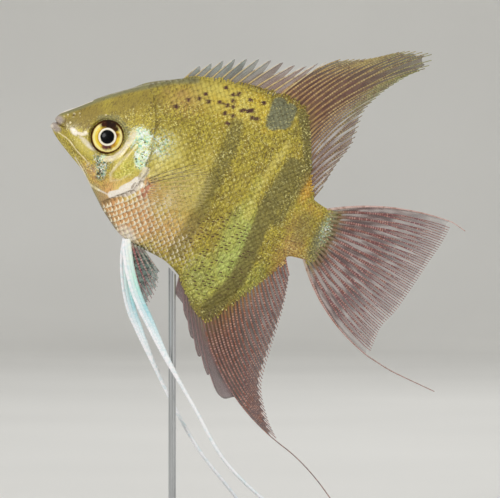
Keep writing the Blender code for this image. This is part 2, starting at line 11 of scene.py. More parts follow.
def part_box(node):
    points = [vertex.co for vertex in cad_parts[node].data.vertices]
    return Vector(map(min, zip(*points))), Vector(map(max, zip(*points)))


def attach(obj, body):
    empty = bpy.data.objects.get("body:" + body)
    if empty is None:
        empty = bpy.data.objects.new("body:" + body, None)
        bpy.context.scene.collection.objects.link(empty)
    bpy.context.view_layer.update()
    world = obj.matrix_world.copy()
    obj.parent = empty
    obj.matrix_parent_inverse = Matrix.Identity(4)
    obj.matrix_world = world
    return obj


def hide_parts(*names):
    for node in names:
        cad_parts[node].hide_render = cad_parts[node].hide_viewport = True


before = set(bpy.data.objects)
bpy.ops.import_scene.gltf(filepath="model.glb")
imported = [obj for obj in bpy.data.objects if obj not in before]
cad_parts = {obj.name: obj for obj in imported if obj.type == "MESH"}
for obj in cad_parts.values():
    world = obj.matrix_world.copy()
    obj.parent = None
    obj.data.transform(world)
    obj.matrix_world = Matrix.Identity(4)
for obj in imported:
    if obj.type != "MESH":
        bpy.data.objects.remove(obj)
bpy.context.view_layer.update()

# The fish is drawn level in millimetres: s back from the snout, y to its right, h up.
# toWorld tips it head-up and carries it to where the model's eyes say it is.
body = {
    "pitch": 23.2,          # degrees head-up
    "eye": (17.0, 2.3),     # centre of the eyes, s and h
    "end": 87.4,            # the flesh runs out over the roots of the tail fin
    "depth": 0.22,          # the skin lies this far under the flesh's outline, for the scales
    "rounding": 1.5,        # width of the rounded edge of back and belly
    "backFullness": 1.75,   # how long the sides stay wide on the way up and down
    "bellyFullness": 2.15,
    "noseRound": 1.1,       # length of the rounded nose end
    "tailStart": 80.5,      # where the sides start to close to the tail end
    "back": [(0, 1.4), (1.2, 3.7), (5, 7.2), (10.7, 13), (17.4, 18.5), (21.2, 21.9), (27, 25.3),
             (33.6, 28.6), (43.9, 31.2), (53.9, 32.6), (61, 32.7), (66.2, 31.4), (69.3, 27.6),
             (74, 19.2), (77.6, 12), (80.2, 9.4), (85, 8.7), (88, 9.2)],
    "belly": [(0, -1.8), (3.2, -4), (7.8, -6.6), (13.6, -9.7), (19.4, -14.4), (25.5, -19.2),
              (33, -23.2), (39, -23.9), (45.3, -24.4), (51, -26.4), (57, -31.2), (61.8, -33.4),
              (65.5, -30.6), (69, -26), (73.3, -19.7), (77.4, -12.2), (79.8, -8.9), (85, -8.2),
              (88, -8.6)],
    "halfWidth": [(0, 1.1), (2.5, 2.3), (7, 3.6), (12, 4.7), (17, 5.6), (24, 6.8), (31, 7.3),
                  (42, 6.9), (54, 5.6), (66, 4), (76, 2.7), (85, 1.9), (88, 1.5)],
    "backEdge": [(0, 0.7), (10, 1.3), (24, 1.1), (34, 0.8), (70, 0.7), (85, 1.2), (88, 0.9)],
    "bellyEdge": [(0, 0.7), (10, 1.2), (26, 1.3), (36, 1.9), (46, 1.3), (56, 0.7), (72, 0.7),
                  (85, 1.2), (88, 0.9)],
}
mm = 0.001
sides = (("left", -1.0), ("right", 1.0))


def placeFish():
    low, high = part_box("eye_left")
    eye = (low + high) / 2.0
    turn = Matrix.Rotation(math.radians(body["pitch"]), 4, "Y")
    held = turn @ Vector((body["eye"][0], 0.0, body["eye"][1])) * mm
    shift = Matrix.Translation((eye.x - held.x, 0.0, eye.z - held.z))
    return shift @ turn @ Matrix.Scale(mm, 4)


toWorld = placeFish()
toFish = toWorld.inverted()


def smoothLine(points, x):
    # heights at x of a smooth line through the points that never overshoots them
    px, py = np.array(points, float).T
    rise = np.diff(py) / np.diff(px)
    both = rise[:-1] * rise[1:]
    total = np.where(rise[:-1] + rise[1:] == 0.0, 1.0, rise[:-1] + rise[1:])
    slope = np.concatenate([rise[:1], np.where(both > 0.0, 2.0 * both / total, 0.0), rise[-1:]])
    x = np.clip(x, px[0], px[-1])
    i = np.clip(np.searchsorted(px, x) - 1, 0, len(px) - 2)
    span = px[i + 1] - px[i]
    u = (x - px[i]) / span
    ends = py[i] * (1 + 2 * u) * (1 - u) ** 2 + py[i + 1] * u * u * (3 - 2 * u)
    return ends + span * (slope[i] * u * (1 - u) ** 2 - slope[i + 1] * u * u * (1 - u))


def runLength(points):
    # length of a line from its start to each of its points
    return np.concatenate([[0.0], np.cumsum(np.linalg.norm(np.diff(points, axis=0), axis=1))])


def unit(vectors):
    return vectors / np.linalg.norm(vectors, axis=-1, keepdims=True)


def alongLine(points, t):
    # places a share t of the way along a smooth line through the points
    points = np.array(points, float)
    run = runLength(points)
    return np.stack([smoothLine(np.stack([run, axis], 1), np.asarray(t) * run[-1])
                     for axis in points.T], -1)


def step(low, high, x):
    # 0 below low and 1 above high, with a soft change between
    u = np.clip((x - low) / (high - low), 0.0, 1.0)
    return u * u * (3.0 - 2.0 * u)


def lineDistance(points, s, h):
    # distance to a run of straight lines, and on which side of it: above or ahead is positive
    best = np.full(np.shape(s), 1e9)
    side = np.zeros(np.shape(s))
    for (s0, h0), (s1, h1) in zip(points, points[1:]):
        ds, dh = s1 - s0, h1 - h0
        u = np.clip(((s - s0) * ds + (h - h0) * dh) / (ds * ds + dh * dh), 0.0, 1.0)
        away = np.hypot(s - s0 - u * ds, h - h0 - u * dh)
        nearer = away < best
        best = np.where(nearer, away, best)
        side = np.where(nearer, ds * (h - h0) - dh * (s - s0), side)
    return best, np.sign(side)


def edgeLine(edge, start, end, shift):
    # part of the body's edge, moved to the left of the way it runs
    s = np.linspace(start, end, 41)
    h = smoothLine(edge, s)
    way = unit(np.stack([np.gradient(s), np.gradient(h)], 1))
    return np.stack([s - way[:, 1] * shift, h + way[:, 0] * shift], 1)


def stroke(points, s, h, width, soft):
    # 1 within half the width of a line, fading over soft
    away = lineDistance(points, s, h)[0]
    return 1.0 - step(width / 2.0, width / 2.0 + soft, away)


def blob(s, h, centre, size, soft=0.5, turn=0.0):
    # 1 inside an oval of half sizes size, fading over the share soft of it
    a = math.radians(turn)
    ds, dh = s - centre[0], h - centre[1]
    u = (ds * math.cos(a) + dh * math.sin(a)) / size[0]
    v = (dh * math.cos(a) - ds * math.sin(a)) / size[1]
    return 1.0 - step(1.0 - soft, 1.0 + soft, np.hypot(u, v))


def halfWidth(s, h, top, bottom):
    above = h > 0.0
    u = np.clip(np.where(above, h / top, h / bottom), 0.0, 1.0)
    edge = np.where(above, smoothLine(body["backEdge"], s), smoothLine(body["bellyEdge"], s))
    power = np.where(above, body["backFullness"], body["bellyFullness"])
    return edge + (smoothLine(body["halfWidth"], s) - edge) * (1.0 - u ** power) ** 0.9


def girth(s, count):
    # heights and half widths round one side at station s, evenly spaced from belly to back
    top = float(smoothLine(body["back"], s)) - body["depth"]
    bottom = float(smoothLine(body["belly"], s)) + body["depth"]
    v = -np.cos(np.linspace(0.0, math.pi, 301))
    reach = np.where(v > 0.0, top, -bottom)
    h = v * reach
    edge = np.minimum(body["rounding"], reach * 0.6)
    turned = np.clip((np.abs(h) - reach + edge) / edge, 0.0, 1.0)
    width = np.maximum(halfWidth(np.full_like(h, s), h, top, bottom) - body["depth"], 0.15)
    width = width * np.sqrt(1.0 - turned ** 2)
    nose = math.sqrt(max(1.0 - max(1.0 - s / body["noseRound"], 0.0) ** 2, 0.0))
    closing = (s - body["tailStart"]) / (body["end"] - body["tailStart"])
    tail = 1.0 - min(max(closing, 0.0), 1.0) ** 1.6
    y = width * nose * tail
    run = runLength(np.stack([h, y], 1))
    middle = float(np.interp(0.0, v, run))
    half = count // 2
    wanted = np.concatenate([np.linspace(0.0, middle, half + 1)[:-1],
                             np.linspace(middle, run[-1], half + 1)])
    return np.interp(wanted, run, h), np.interp(wanted, run, y), middle, run[-1] - middle


head = {
    "gillLine": [(17.5, 30), (22.5, 21.5), (28, 12.5), (30.4, 4), (31.7, -2.5), (30, -8.8),
                 (25.4, -13.1), (21.5, -17), (16, -24)],
    "cheekLine": [(27.5, 8.2), (24.8, 4.6), (23.6, -0.5), (22.4, -6), (20.2, -10), (17.4, -9.6),
                  (13.2, -7.3)],
    "mouthLine": [(-1, 0.5), (0.8, 0.4), (3.9, -0.1)],
    "gillCover": (0.42, 5.0),       # height of its rear edge, and the length over which it falls forward
    "gillSlit": (0.22, 0.6),        # depth behind that edge, and the length over which it rises again
    "cheekFold": (0.2, 0.45),       # height and half width
    "cheekCrease": (0.14, 0.9, 0.4),    # depth, distance from the fold, half width
    "lips": (0.32, 0.75, 0.45),     # height, distance from the mouth's line, half width
    "mouthSlit": (0.6, 0.24),       # depth and half width
    "poreRim": (0.07, 0.5),         # height and radius
    "poreHole": (0.14, 0.22),
    "socketRim": (0.2, 5.7, 0.4),   # height, radius from the eye's middle, half width
    # line, depth and half width: the edge of the lips and two folds along the jaw
    "grooves": [([(1.9, 4.0), (2.8, 2.5), (3.7, 0.8), (4.4, -1.3), (5.2, -2.9)], 0.22, 0.3),
                ([(5.0, -2.7), (9.6, -5.5), (15.6, -8.6)], 0.12, 0.28),
                ([(4.6, -1.4), (8.6, -3.8), (14.0, -6.6)], 0.12, 0.28)],
    "snout": [(-1.8, 0.5), (-0.9, 0.0), (0.0, 0.35), (0.45, 1.25), (0.9, 0.7), (1.5, 0.35)],
    "pores": [(2.7, 2.9), (3.6, 3.8), (6.6, 5.5), (5.2, 1.9), (14.0, 8.1)],
    # centre, half sizes, soft, turn and height: nostril and its rim, foot of the pectoral fin, cheek
    "bumps": [((5.2, 4.5), (0.36, 0.3), 0.4, 0, -0.4), ((5.2, 4.5), (0.8, 0.7), 0.4, 0, 0.12),
              ((5.2, 4.5), (0.45, 0.4), 0.3, 0, -0.12), ((33.4, -7.4), (1.5, 3.0), 0.6, -15, 0.5),
              ((21.5, -1.5), (3.4, 5.5), 0.9, 20, 0.3)],
    "eyeDome": (3.8, 2.75, 5.25),   # how far out the eye sits, its height and its radius
    "eyeTilt": (0.17, -0.055),
    "socket": (4.9, 5.75),  # the skin folds in to the eye between these radii
}


def eyeDome(s, h):
    # the eyeball's outline under the skin: a shallow dome that leans with the cheek
    ds, dh = s - body["eye"][0], h - body["eye"][1]
    r = np.hypot(ds, dh)
    out, high, radius = head["eyeDome"]
    plane = out + head["eyeTilt"][0] * ds + head["eyeTilt"][1] * dh
    return plane + high * np.sqrt(np.clip(1.0 - (r / radius) ** 2, 0.0, 1.0)), r


def ridge(high, away, at, reach):
    # high at the distance at from a line, fading over reach to both sides
    return high * np.exp(-((away - at) / reach) ** 2)


def relief(s, h, y):
    # height of the head's features over the smooth outline
    away, side = lineDistance(head["gillLine"], s, h)
    within = step(-18.0, -14.0, h) * (1.0 - step(13.0, 20.0, h))
    (proud, length), (deep, near) = head["gillCover"], head["gillSlit"]
    lift = np.where(side < 0.0, proud * np.exp(-away / length), -deep * np.exp(-away / near)) * within
    away, side = lineDistance(head["cheekLine"], s, h)
    (fold, wide), (crease, at, reach) = head["cheekFold"], head["cheekCrease"]
    lift = lift + ridge(fold, away, 0.0, wide) - ridge(crease, away, at, reach) * (side > 0)
    away, side = lineDistance(head["mouthLine"], s, h)
    (lip, at, wide), (slit, reach) = head["lips"], head["mouthSlit"]
    front = 1.0 - step(3.0, 4.3, s)
    lift = lift + front * (ridge(lip, away, at, wide) - ridge(slit, away, 0.0, reach))
    for line, depth, reach in head["grooves"]:
        lift = lift - ridge(depth, lineDistance(line, s, h)[0], 0.0, reach)
    (rise, wide), (hole, reach) = head["poreRim"], head["poreHole"]
    for pore in head["pores"]:
        lift = lift + rise * blob(s, h, pore, (wide, wide), 0.5)
        lift = lift - hole * blob(s, h, pore, (reach, reach), 0.6)
    for centre, size, soft, turn, high in head["bumps"]:
        lift = lift + high * blob(s, h, centre, size, soft, turn)
    dome, r = eyeDome(s, h)
    high, at, reach = head["socketRim"]
    rim = ridge(high, r, at, reach)
    sunk = np.where(r < 4.6, dome - 0.6, dome - 0.12)     # under the eyeball, and close round it
    into = 1.0 - step(*head["socket"], r)
    return (lift + rim) * (1.0 - into) + (sunk - y) * into


skinGrid = {
    "headStep": 0.2,        # mm between stations as far back as the gills
    "bodyStep": 0.46,
    "headEnd": 33.0,
    "round": 170,           # steps from belly to back
}


def gridNormals(points):
    # unit normals of a grid of places, 0 where the grid closes to a point
    out = np.cross(np.gradient(points, axis=1), np.gradient(points, axis=0))
    size = np.linalg.norm(out, axis=2, keepdims=True)
    return out / np.where(size < 1e-9, 1.0, size)


class Surface:
    # the left side of the body as a table: station by share of the way from belly to back
    def __init__(self):
        front = np.arange(0.0, skinGrid["headEnd"], skinGrid["headStep"])
        count = int((body["end"] - skinGrid["headEnd"]) / skinGrid["bodyStep"])
        self.s = np.concatenate([front, np.linspace(skinGrid["headEnd"], body["end"], count)])
        rows = [girth(s, skinGrid["round"]) for s in self.s]
        self.below = np.array([row[2] for row in rows])
        self.above = np.array([row[3] for row in rows])
        flat = np.zeros((len(rows), skinGrid["round"] + 1, 3))
        flat[:, :, 0] = self.s[:, None]
        flat[:, :, 1] = [row[1] for row in rows]
        flat[:, :, 2] = [row[0] for row in rows]
        edge = np.clip(flat[:, :, 1] / 1.2, 0.0, 1.0)
        lift = relief(flat[:, :, 0], flat[:, :, 2], flat[:, :, 1]) * edge
        self.points = flat + gridNormals(flat) * lift[:, :, None]
        blunt = smoothLine(head["snout"], flat[:, :, 2]) * np.clip(1.0 - flat[:, :, 0] / 3.5, 0, 1) ** 2
        self.points[:, :, 0] += blunt
        self.points[:, (0, -1), 1] = 0.0
        self.points[(0, -1), :, 1] = 0.0
        self.normal = gridNormals(self.points)

    def read(self, table, s, g):
        # value at station s and distance g round the side from the middle line
        i = np.clip(np.interp(s, self.s, np.arange(len(self.s))), 0, len(self.s) - 1.001)
        reach = np.where(g > 0.0, np.interp(s, self.s, self.above), np.interp(s, self.s, self.below))
        q = np.clip(g / np.maximum(reach, 0.05), -1.0, 1.0)
        k = np.clip((q + 1.0) / 2.0 * skinGrid["round"], 0, skinGrid["round"] - 0.001)
        i0, k0 = i.astype(int), k.astype(int)
        a, b = (i - i0)[..., None], (k - k0)[..., None]
        return (table[i0, k0] * (1 - a) * (1 - b) + table[i0 + 1, k0] * a * (1 - b)
                + table[i0, k0 + 1] * (1 - a) * b + table[i0 + 1, k0 + 1] * a * b)


surface = Surface()
print("surface:", len(surface.s), "stations")

# The markings, the same on skin and scales. Each has strokes (line, width, soft, strength) and
# blobs (centre, half sizes, soft, turn, strength); the strongest at a place counts.
marks = {
    # the olive blobs on the forehead and snout are partly the fish's own colour and partly painted shade,
    # darker where the key light's highlight falls on skin facing up and forwards
    "olive": ([], [((8.5, 5.6), (6.5, 3.2), 0.6, 40, 0.9), ((20, 14), (10, 4.5), 0.8, 42, 0.7),
        ((5.4, 1.6), (2.8, 2.0), 0.6, 30, 1.0), ((9.6, 2.9), (3.4, 1.2), 0.6, 10, 0.9),
        ((9, -4.6), (3.6, 1.2), 0.7, -28, 0.5)]),
    "green": ([], [((64.0, -13), (5.0, 13), 0.6, 4, 1.0), ((59, -25), (6, 8), 0.7, 0, 0.75),
        ((38.5, -22), (3.4, 1.6), 0.6, 15, 0.7), ((72, -20), (3, 8), 0.8, -20, 0.5)]),
    "warm": ([], [((31, -15.5), (11.5, 9.0), 0.6, -8, 1.0), ((42, -13), (9, 9), 0.8, 0, 0.7),
        ((37, -8.5), (5.5, 5), 0.8, 0, 0.8), ((80, -10), (5, 8), 0.7, 0, 0.5),
        ((34, 21.5), (8, 5), 0.9, 20, 0.4), ((19, -11.4), (3.4, 2), 0.8, -30, 0.5),
        ((15.5, -8.2), (3.4, 1.6), 0.7, -30, 0.5)]),
    "amber": ([], [((76.2, 12.4), (2.2, 5.4), 0.7, 4, 1.0), ((80.5, 6.4), (4, 2.2), 0.7, -10, 0.5),
        ((34.4, -6.4), (2.2, 3.2), 0.8, -20, 0.7), ((26, -5), (2.6, 3.4), 0.7, 10, 0.6)]),
    "pale": ([([(66.4, 21.4), (64.6, 13), (63.4, 4), (63.6, -3)], 1.2, 1.2, 0.6)],
        [((35.5, 1.5), (5.6, 9.5), 0.9, 0, 0.9), ((28, -1), (4.5, 5), 0.8, 0, 0.6),
        ((46, -1), (4.5, 13), 0.9, 0, 0.65), ((40, 2), (9, 8), 0.9, 0, 0.5),
        ((46, 26.0), (10, 5), 0.9, 0, 0.9), ((40, -9), (4, 6), 0.8, 0, 0.6),
        ((58, 4), (4, 9), 0.9, 0, 0.3), ((12, -3.2), (5, 1.6), 0.7, -20, 0.6),
        ((24, -3), (3, 3), 0.8, 0, 0.6), ((28.6, -10), (4, 3), 0.8, 0, 0.8)]),
    "gold": ([([(42, 29.4), (48, 30.2), (55, 31.2)], 1.2, 1.2, 0.6),
        ([(58, 22), (61, 22.6), (65.6, 27), (66, 30)], 1.0, 1.0, 0.65),
        ([(22.0, 13.6), (23.7, 9.8)], 0.8, 1.8, 0.4)], [((53.4, 28.8), (4.2, 2.6), 0.6, 0, 0.95),
        ((56.2, 26.2), (1.9, 3.6), 0.6, 8, 0.9), ((46, 24.5), (9.5, 7), 0.9, 0, 0.7),
        ((24.6, -5.6), (2.6, 2.6), 0.6, 10, 0.7), ((46, 8), (4, 12), 0.9, 0, 0.35),
        ((69.5, 20), (2.2, 4), 0.8, 25, 0.4), ((76, 4), (3.4, 6), 0.9, 0, 0.4)]),
    "rose": ([], [((33.9, -7.6), (1.7, 3.6), 0.5, -24, 1.0), ((17.4, -8.4), (2.0, 2.6), 0.8, 20, 0.4),
        ((79, -1), (4, 7), 0.8, 0, 0.3), ((32.6, -4.9), (0.9, 1.2), 0.6, 0, 0.7)]),
    "grey": ([([(17.4, -13.4), (23, -17.8), (29, -21.6)], 1.2, 1.4, 0.75),
        ([(19, -13), (24, -15)], 1.4, 2.0, 0.5),
        ([(1, 3.2), (5, 6.8), (10.7, 12.4), (17.4, 17.9), (27, 24.6), (34, 28)], 0.8, 1.4, 0.7),
        ([(59.4, 30.8), (60.0, 25.4)], 4.2, 0.6, 0.95), ([(62.9, 30.6), (62.6, 26.6)], 3.8, 0.6, 0.95),
        ([(13.2, 6.6), (17.2, 8.3), (21.6, 6.4), (23, 2.6)], 1.2, 1.2, 0.55)],
        [((86.5, 1), (2.6, 9.5), 0.7, -6, 0.8), ((38, -25), (6, 2.2), 0.8, 0, 0.7)]),
    "lime": ([([(62.6, 8), (63.2, 0), (62.6, -8), (61.6, -14)], 1.6, 2.0, 0.5)],
        [((26.2, -3.8), (2.8, 3.4), 0.6, 12, 0.8), ((24.8, -6.4), (2.4, 1.4), 0.6, 20, 0.8)]),
    "lip": ([], [((1.1, 0.9), (2.2, 1.5), 0.4, 30, 1.0), ((1.5, -1.1), (2.0, 1.1), 0.4, -12, 0.95)]),
    "band": ([([(50.2, 20), (51.2, 14), (51.0, 7), (50.6, 1)], 3.0, 1.7, 0.72),
        ([(50.6, 2), (50.4, -9), (48.4, -20.5)], 3.0, 1.7, 0.6),
        ([(70.2, 16), (69.0, 8), (67.9, 2), (68.3, -6), (68.6, -14), (68.2, -21), (66.4, -27), (64, -33)],
         4.3, 0.7, 0.88),
        ([(74.0, 18), (72.8, 9), (71.4, 0)], 3.0, 2.2, 0.8),
        ([(66.6, 31.0), (69.6, 27.2), (73.6, 19.6), (74.8, 17.4)], 2.0, 1.2, 0.9)],
        [((72.8, 12), (2.0, 6.5), 0.6, 8, 0.4), ((80.0, 0.2), (2.7, 6.0), 0.6, 0, 0.55),
        ((60, -33), (6, 2.6), 0.8, 0, 0.6), ((57, -26), (5, 5), 0.8, 0, 0.4),
        # the first blob here is painted shade on the snout against the key light, not a band
        ((5.4, 1.6), (2.6, 2.0), 0.7, 30, 0.35), ((67, 27), (2.2, 5), 0.7, 20, 0.4)]),
    "pepper": ([([(20.6, -4.6), (21.6, -2.4)], 0.2, 0.8, 0.5)], [((18.6, -5.4), (1.9, 2.6), 0.5, 8, 1.0),
        ((19.4, -8.2), (1.5, 2.0), 0.6, 0, 0.9), ((16.6, -4.6), (1.6, 1.2), 0.7, -30, 0.7),
        ((15.8, -7.6), (2.2, 1.2), 0.7, -30, 0.45)]),
    # mint: the turquoise on the gill cover and the tail's base is partly its own colour and partly painted
    # sheen
    "mint": ([], [((28.6, 0.8), (2.4, 3.6), 0.5, 20, 1.0), ((26.2, 5.6), (3.8, 3.6), 0.5, 25, 1.0),
        ((32.4, 6.0), (4.2, 4.4), 0.8, 0, 0.7), ((18.6, -3.8), (1.4, 0.9), 0.5, 0, 1.0),
        ((86.8, 3.2), (2.0, 5.0), 0.8, 0, 0.6)]),
    "pearl": ([([(19.4, -3.8), (21.4, -2.4), (22.8, 0.4), (23.6, 3.8), (23.6, 6.4)], 1.1, 0.8, 0.9),
        ([(22.9, -9.0), (22.1, -7.4), (22.9, -4.3), (24.7, 0.2), (26.0, 3.4)], 0.2, 0.8, 0.75),
        ([(22.9, -9.1), (25.4, -7.7), (27.4, -5.2)], 0.1, 0.7, 0.55),
        ([(3.1, -2.1), (5.7, -2.6), (7.2, -3.1), (10.0, -4.8), (12.6, -5.9), (14.8, -6.9)], 0.1, 0.36, 0.8),
        ([(9.9, -6.3), (12.1, -7.2), (14.3, -8.9), (16.5, -10.7)], 0.0, 0.35, 0.6),
        ([(16.8, -12.4), (20.6, -12.9)], 0.2, 0.6, 0.8)], [((34.2, -1.6), (2.2, 2.6), 0.9, 0, 0.5),
        ((36, -10.6), (4, 3), 0.9, 20, 0.5), ((40.5, -7.5), (3.4, 3.6), 0.9, 0, 0.5),
        ((2.7, 2.9), (0.28, 0.28), 0.4, 0, 0.9), ((3.6, 3.8), (0.25, 0.25), 0.4, 0, 0.8),
        ((5.2, 4.7), (0.5, 0.42), 0.4, 0, 1.0), ((6.6, 5.5), (0.26, 0.26), 0.4, 0, 0.8),
        ((5.2, 1.9), (0.34, 0.34), 0.4, 0, 0.9), ((14.0, 8.1), (0.3, 0.3), 0.4, 0, 0.9),
        ((7.2, 4.7), (0.2, 0.2), 0.4, 0, 0.6)]),
    "white": ([([(-0.2, 1.7), (1.1, 3.5), (4.8, 7.0), (8.4, 10.5)], 0.35, 0.4, 1.0),
        ([(10, 12), (17.4, 18.2), (27, 25)], 0.1, 0.5, 0.4),
        ([(20.6, -12.9), (23.6, -13.1), (26.2, -11.8)], 0.1, 0.5, 0.7),
        ([(19.8, -3.4), (21.4, -2.0), (22.9, 0.8), (23.4, 3.0)], 0.3, 0.9, 0.6),
        ([(24.6, -12.8), (28.0, -10.4)], 1.4, 0.7, 1.1),
        ([(27.8, -10.2), (29.6, -8.3), (30.6, -6.4)], 2.8, 0.8, 1.1),
        ([(30.6, -6.8), (31.0, -4.2), (31.4, -2.2)], 1.4, 0.9, 0.8),
        ([(22.6, 0.4), (23.8, 3.6), (24.0, 6.4)], 0.4, 0.9, 0.55),
        ([(10.5, -6.9), (13.6, -9.2), (17, -12)], 0.0, 0.45, 0.8),
        ([(17, -12), (22, -17.2), (29, -21.8), (34, -24)], 0.1, 0.5, 0.6)],
        [((7.3, -0.1), (1.5, 0.9), 0.6, -20, 0.85), ((9.4, 0.1), (1.6, 0.6), 0.6, 12, 0.85),
        ((10.6, 0.9), (0.8, 0.6), 0.6, 0, 0.75), ((12.4, -1.8), (3.4, 0.8), 0.7, -17, 0.8),
        # the white blob at the pelvic base is partly white skin and partly painted sheen on the lower
        # breast
        ((33.5, -21.8), (3.4, 2.2), 0.7, -20, 0.9), ((0.4, -1.1), (0.8, 0.6), 0.6, 0, 0.8)]),
    "dark": ([([(3.3, 2.6), (4.1, 0.6), (4.4, -0.9)], 0.1, 0.5, 0.35),
        ([(-1, 0.5), (0.8, 0.42), (3.7, -0.1)], 0.1, 0.25, 0.55)],
        [((5.25, 4.4), (0.26, 0.2), 0.5, 0, 0.9), ((33.2, -5.5), (0.55, 0.6), 0.5, 0, 0.75)]),
    "calm": ([([(4, 6), (12, 13), (20, 19.5), (32, 26), (42, 29)], 7.0, 4.0, 1.0),
        ([(70.2, 16), (69.0, 8), (68.2, 0)], 4.0, 0.8, 0.6),
        ([(68.2, 0), (68.6, -14), (68.2, -21), (64, -31)], 4.0, 0.8, 0.85),
        ([(50.4, 0), (50.2, -10), (48.4, -22)], 3.0, 2.0, 0.85)], [((10, 0), (9, 7), 0.7, -15, 0.45),
        ((30, -15), (12, 10), 0.6, 0, 0.9), ((60, -16), (6, 14), 0.7, 0, 0.5),
        ((79, 0), (5, 8), 0.7, 0, 0.6), ((61.5, 28), (3.4, 3.6), 0.4, 0, 0.6)]),
    "dots": ([], [((60, -17), (12, 16), 0.4, 0, 1.0), ((76, -4), (7, 11), 0.6, 0, 0.8),
        ((46, -8), (8, 12), 0.7, 0, 0.45), ((70, 22), (4, 6), 0.7, 0, 0.7)]),
    "rims": ([], [((31, -15), (13, 10), 0.6, -8, 1.0), ((44, -20), (9, 7), 0.8, 0, 0.6)]),
}
backSpots = [(31.9, 18.4), (34.3, 21.7), (37.2, 23.3), (38.4, 25.3), (40.0, 23.5), (43.2, 24.7),
             (45.4, 24.7), (47.2, 25.0), (45.8, 22.2), (48.2, 22.5), (50.0, 25.0), (51.6, 25.5),
             (52.8, 26.1), (53.6, 24.1), (55.2, 24.5), (45.8, 28.3), (46.5, 26.6), (51.1, 28.9),
             (43.1, 29.3), (47.2, 29.2), (55.0, 29.6), (47.7, 19.8)]
marks["olive"][0].extend((edgeLine(body[edge], *along, shift), 1.4, 1.8, 0.85) for edge, along, shift in
                         (("back", (44.0, 79.0), 1.6), ("belly", (52.0, 79.0), -1.6)))
marks["dark"][1].extend((spot, (0.74, 0.7), 0.5, 0, 1.0) for spot in backSpots)


def vertexPlaces(mesh):
    flat = np.empty(len(mesh.vertices) * 3)
    mesh.vertices.foreach_get("co", flat)
    return flat.reshape(-1, 3)


def moved(points, matrix):
    return points.reshape(-1, 3) @ np.array(matrix.to_3x3()).T + np.array(matrix.translation)


def writeMarks(mesh):
    # one number for each vertex and marking, by its place on the fish
    s, _, h = moved(vertexPlaces(mesh), toFish).T
    for name, (strokes, blobs) in marks.items():
        value = np.zeros(len(s))
        for line, width, soft, strength in strokes:
            value = np.maximum(value, strength * stroke(line, s, h, width, soft))
        for centre, size, soft, turn, strength in blobs:
            value = np.maximum(value, strength * blob(s, h, centre, size, soft, turn))
        writeNumber(mesh, name, value)


def writeNumber(mesh, name, values):
    layer = mesh.attributes.new(name, "FLOAT", "POINT")
    layer.data.foreach_set("value", np.ascontiguousarray(values, np.float32))


def readNumber(mesh, name):
    values = np.empty(len(mesh.vertices))
    mesh.attributes[name].data.foreach_get("value", values)
    return values


def colour(hexText):
    # sRGB hex to the linear numbers that shaders take
    parts = [int(hexText[i:i + 2], 16) / 255.0 for i in (0, 2, 4)]
    return (*[p / 12.92 if p <= 0.04045 else ((p + 0.055) / 1.055) ** 2.4 for p in parts], 1.0)


def addNode(tree, kind, inputs=None, out=None, stops=None, **settings):
    # a node with its settings, links and colour stops; gives back one of its outputs. Numbered
    # sockets: a Mix blends 2 to 3 or tones 6 to 7 by 0, a Map Range takes 1-2 to 3-4
    node = tree.nodes.new("ShaderNode" + kind)
    for name, value in settings.items():
        setattr(node, name, value)
    for name, value in (inputs or {}).items():
        if isinstance(value, bpy.types.NodeSocket):
            tree.links.new(value, node.inputs[name])
        else:
            node.inputs[name].default_value = value
    for n, (at, tone) in enumerate(stops or []):
        points = node.color_ramp.elements
        point = points[n] if n < 2 else points.new(at)
        point.position = at
        point.color = colour(tone) if isinstance(tone, str) else (tone, tone, tone, 1.0)
    return node.outputs[out] if out else next(o for o in node.outputs if o.enabled)


def newMaterial(name, **fixed):
    # a Principled material with its even values on its own sockets
    made = bpy.data.materials.new(name)
    made.use_nodes = True
    tree = made.node_tree
    shader = tree.nodes["Principled BSDF"]
    for key, value in fixed.items():
        shader.inputs[key.replace("_", " ")].default_value = value
    return made, tree, shader


def layOver(tree, base, layers):
    # tones laid over a base one after another, each by its amount; stops shape the amount
    for amount, stops, tone in layers:
        if stops:
            amount = addNode(tree, "ValToRGB", {"Fac": amount}, stops=stops)
        tone = colour(tone) if isinstance(tone, str) else tone
        base = addNode(tree, "Mix", {0: amount, 6: base, 7: tone}, data_type="RGBA")
    return base


def fishCoordinates(tree, centre=(0.0, 0.0, 0.0)):
    # Object coordinates turned to the fish's own millimetres, measured from a centre
    place = addNode(tree, "TexCoord", out="Object")
    shift = toFish.translation - Vector(centre)
    turn = (0.0, -math.radians(body["pitch"]), 0.0)
    return addNode(tree, "Mapping", {"Vector": place, "Location": shift, "Rotation": turn,
                                     "Scale": (1 / mm, 1 / mm, 1 / mm)})


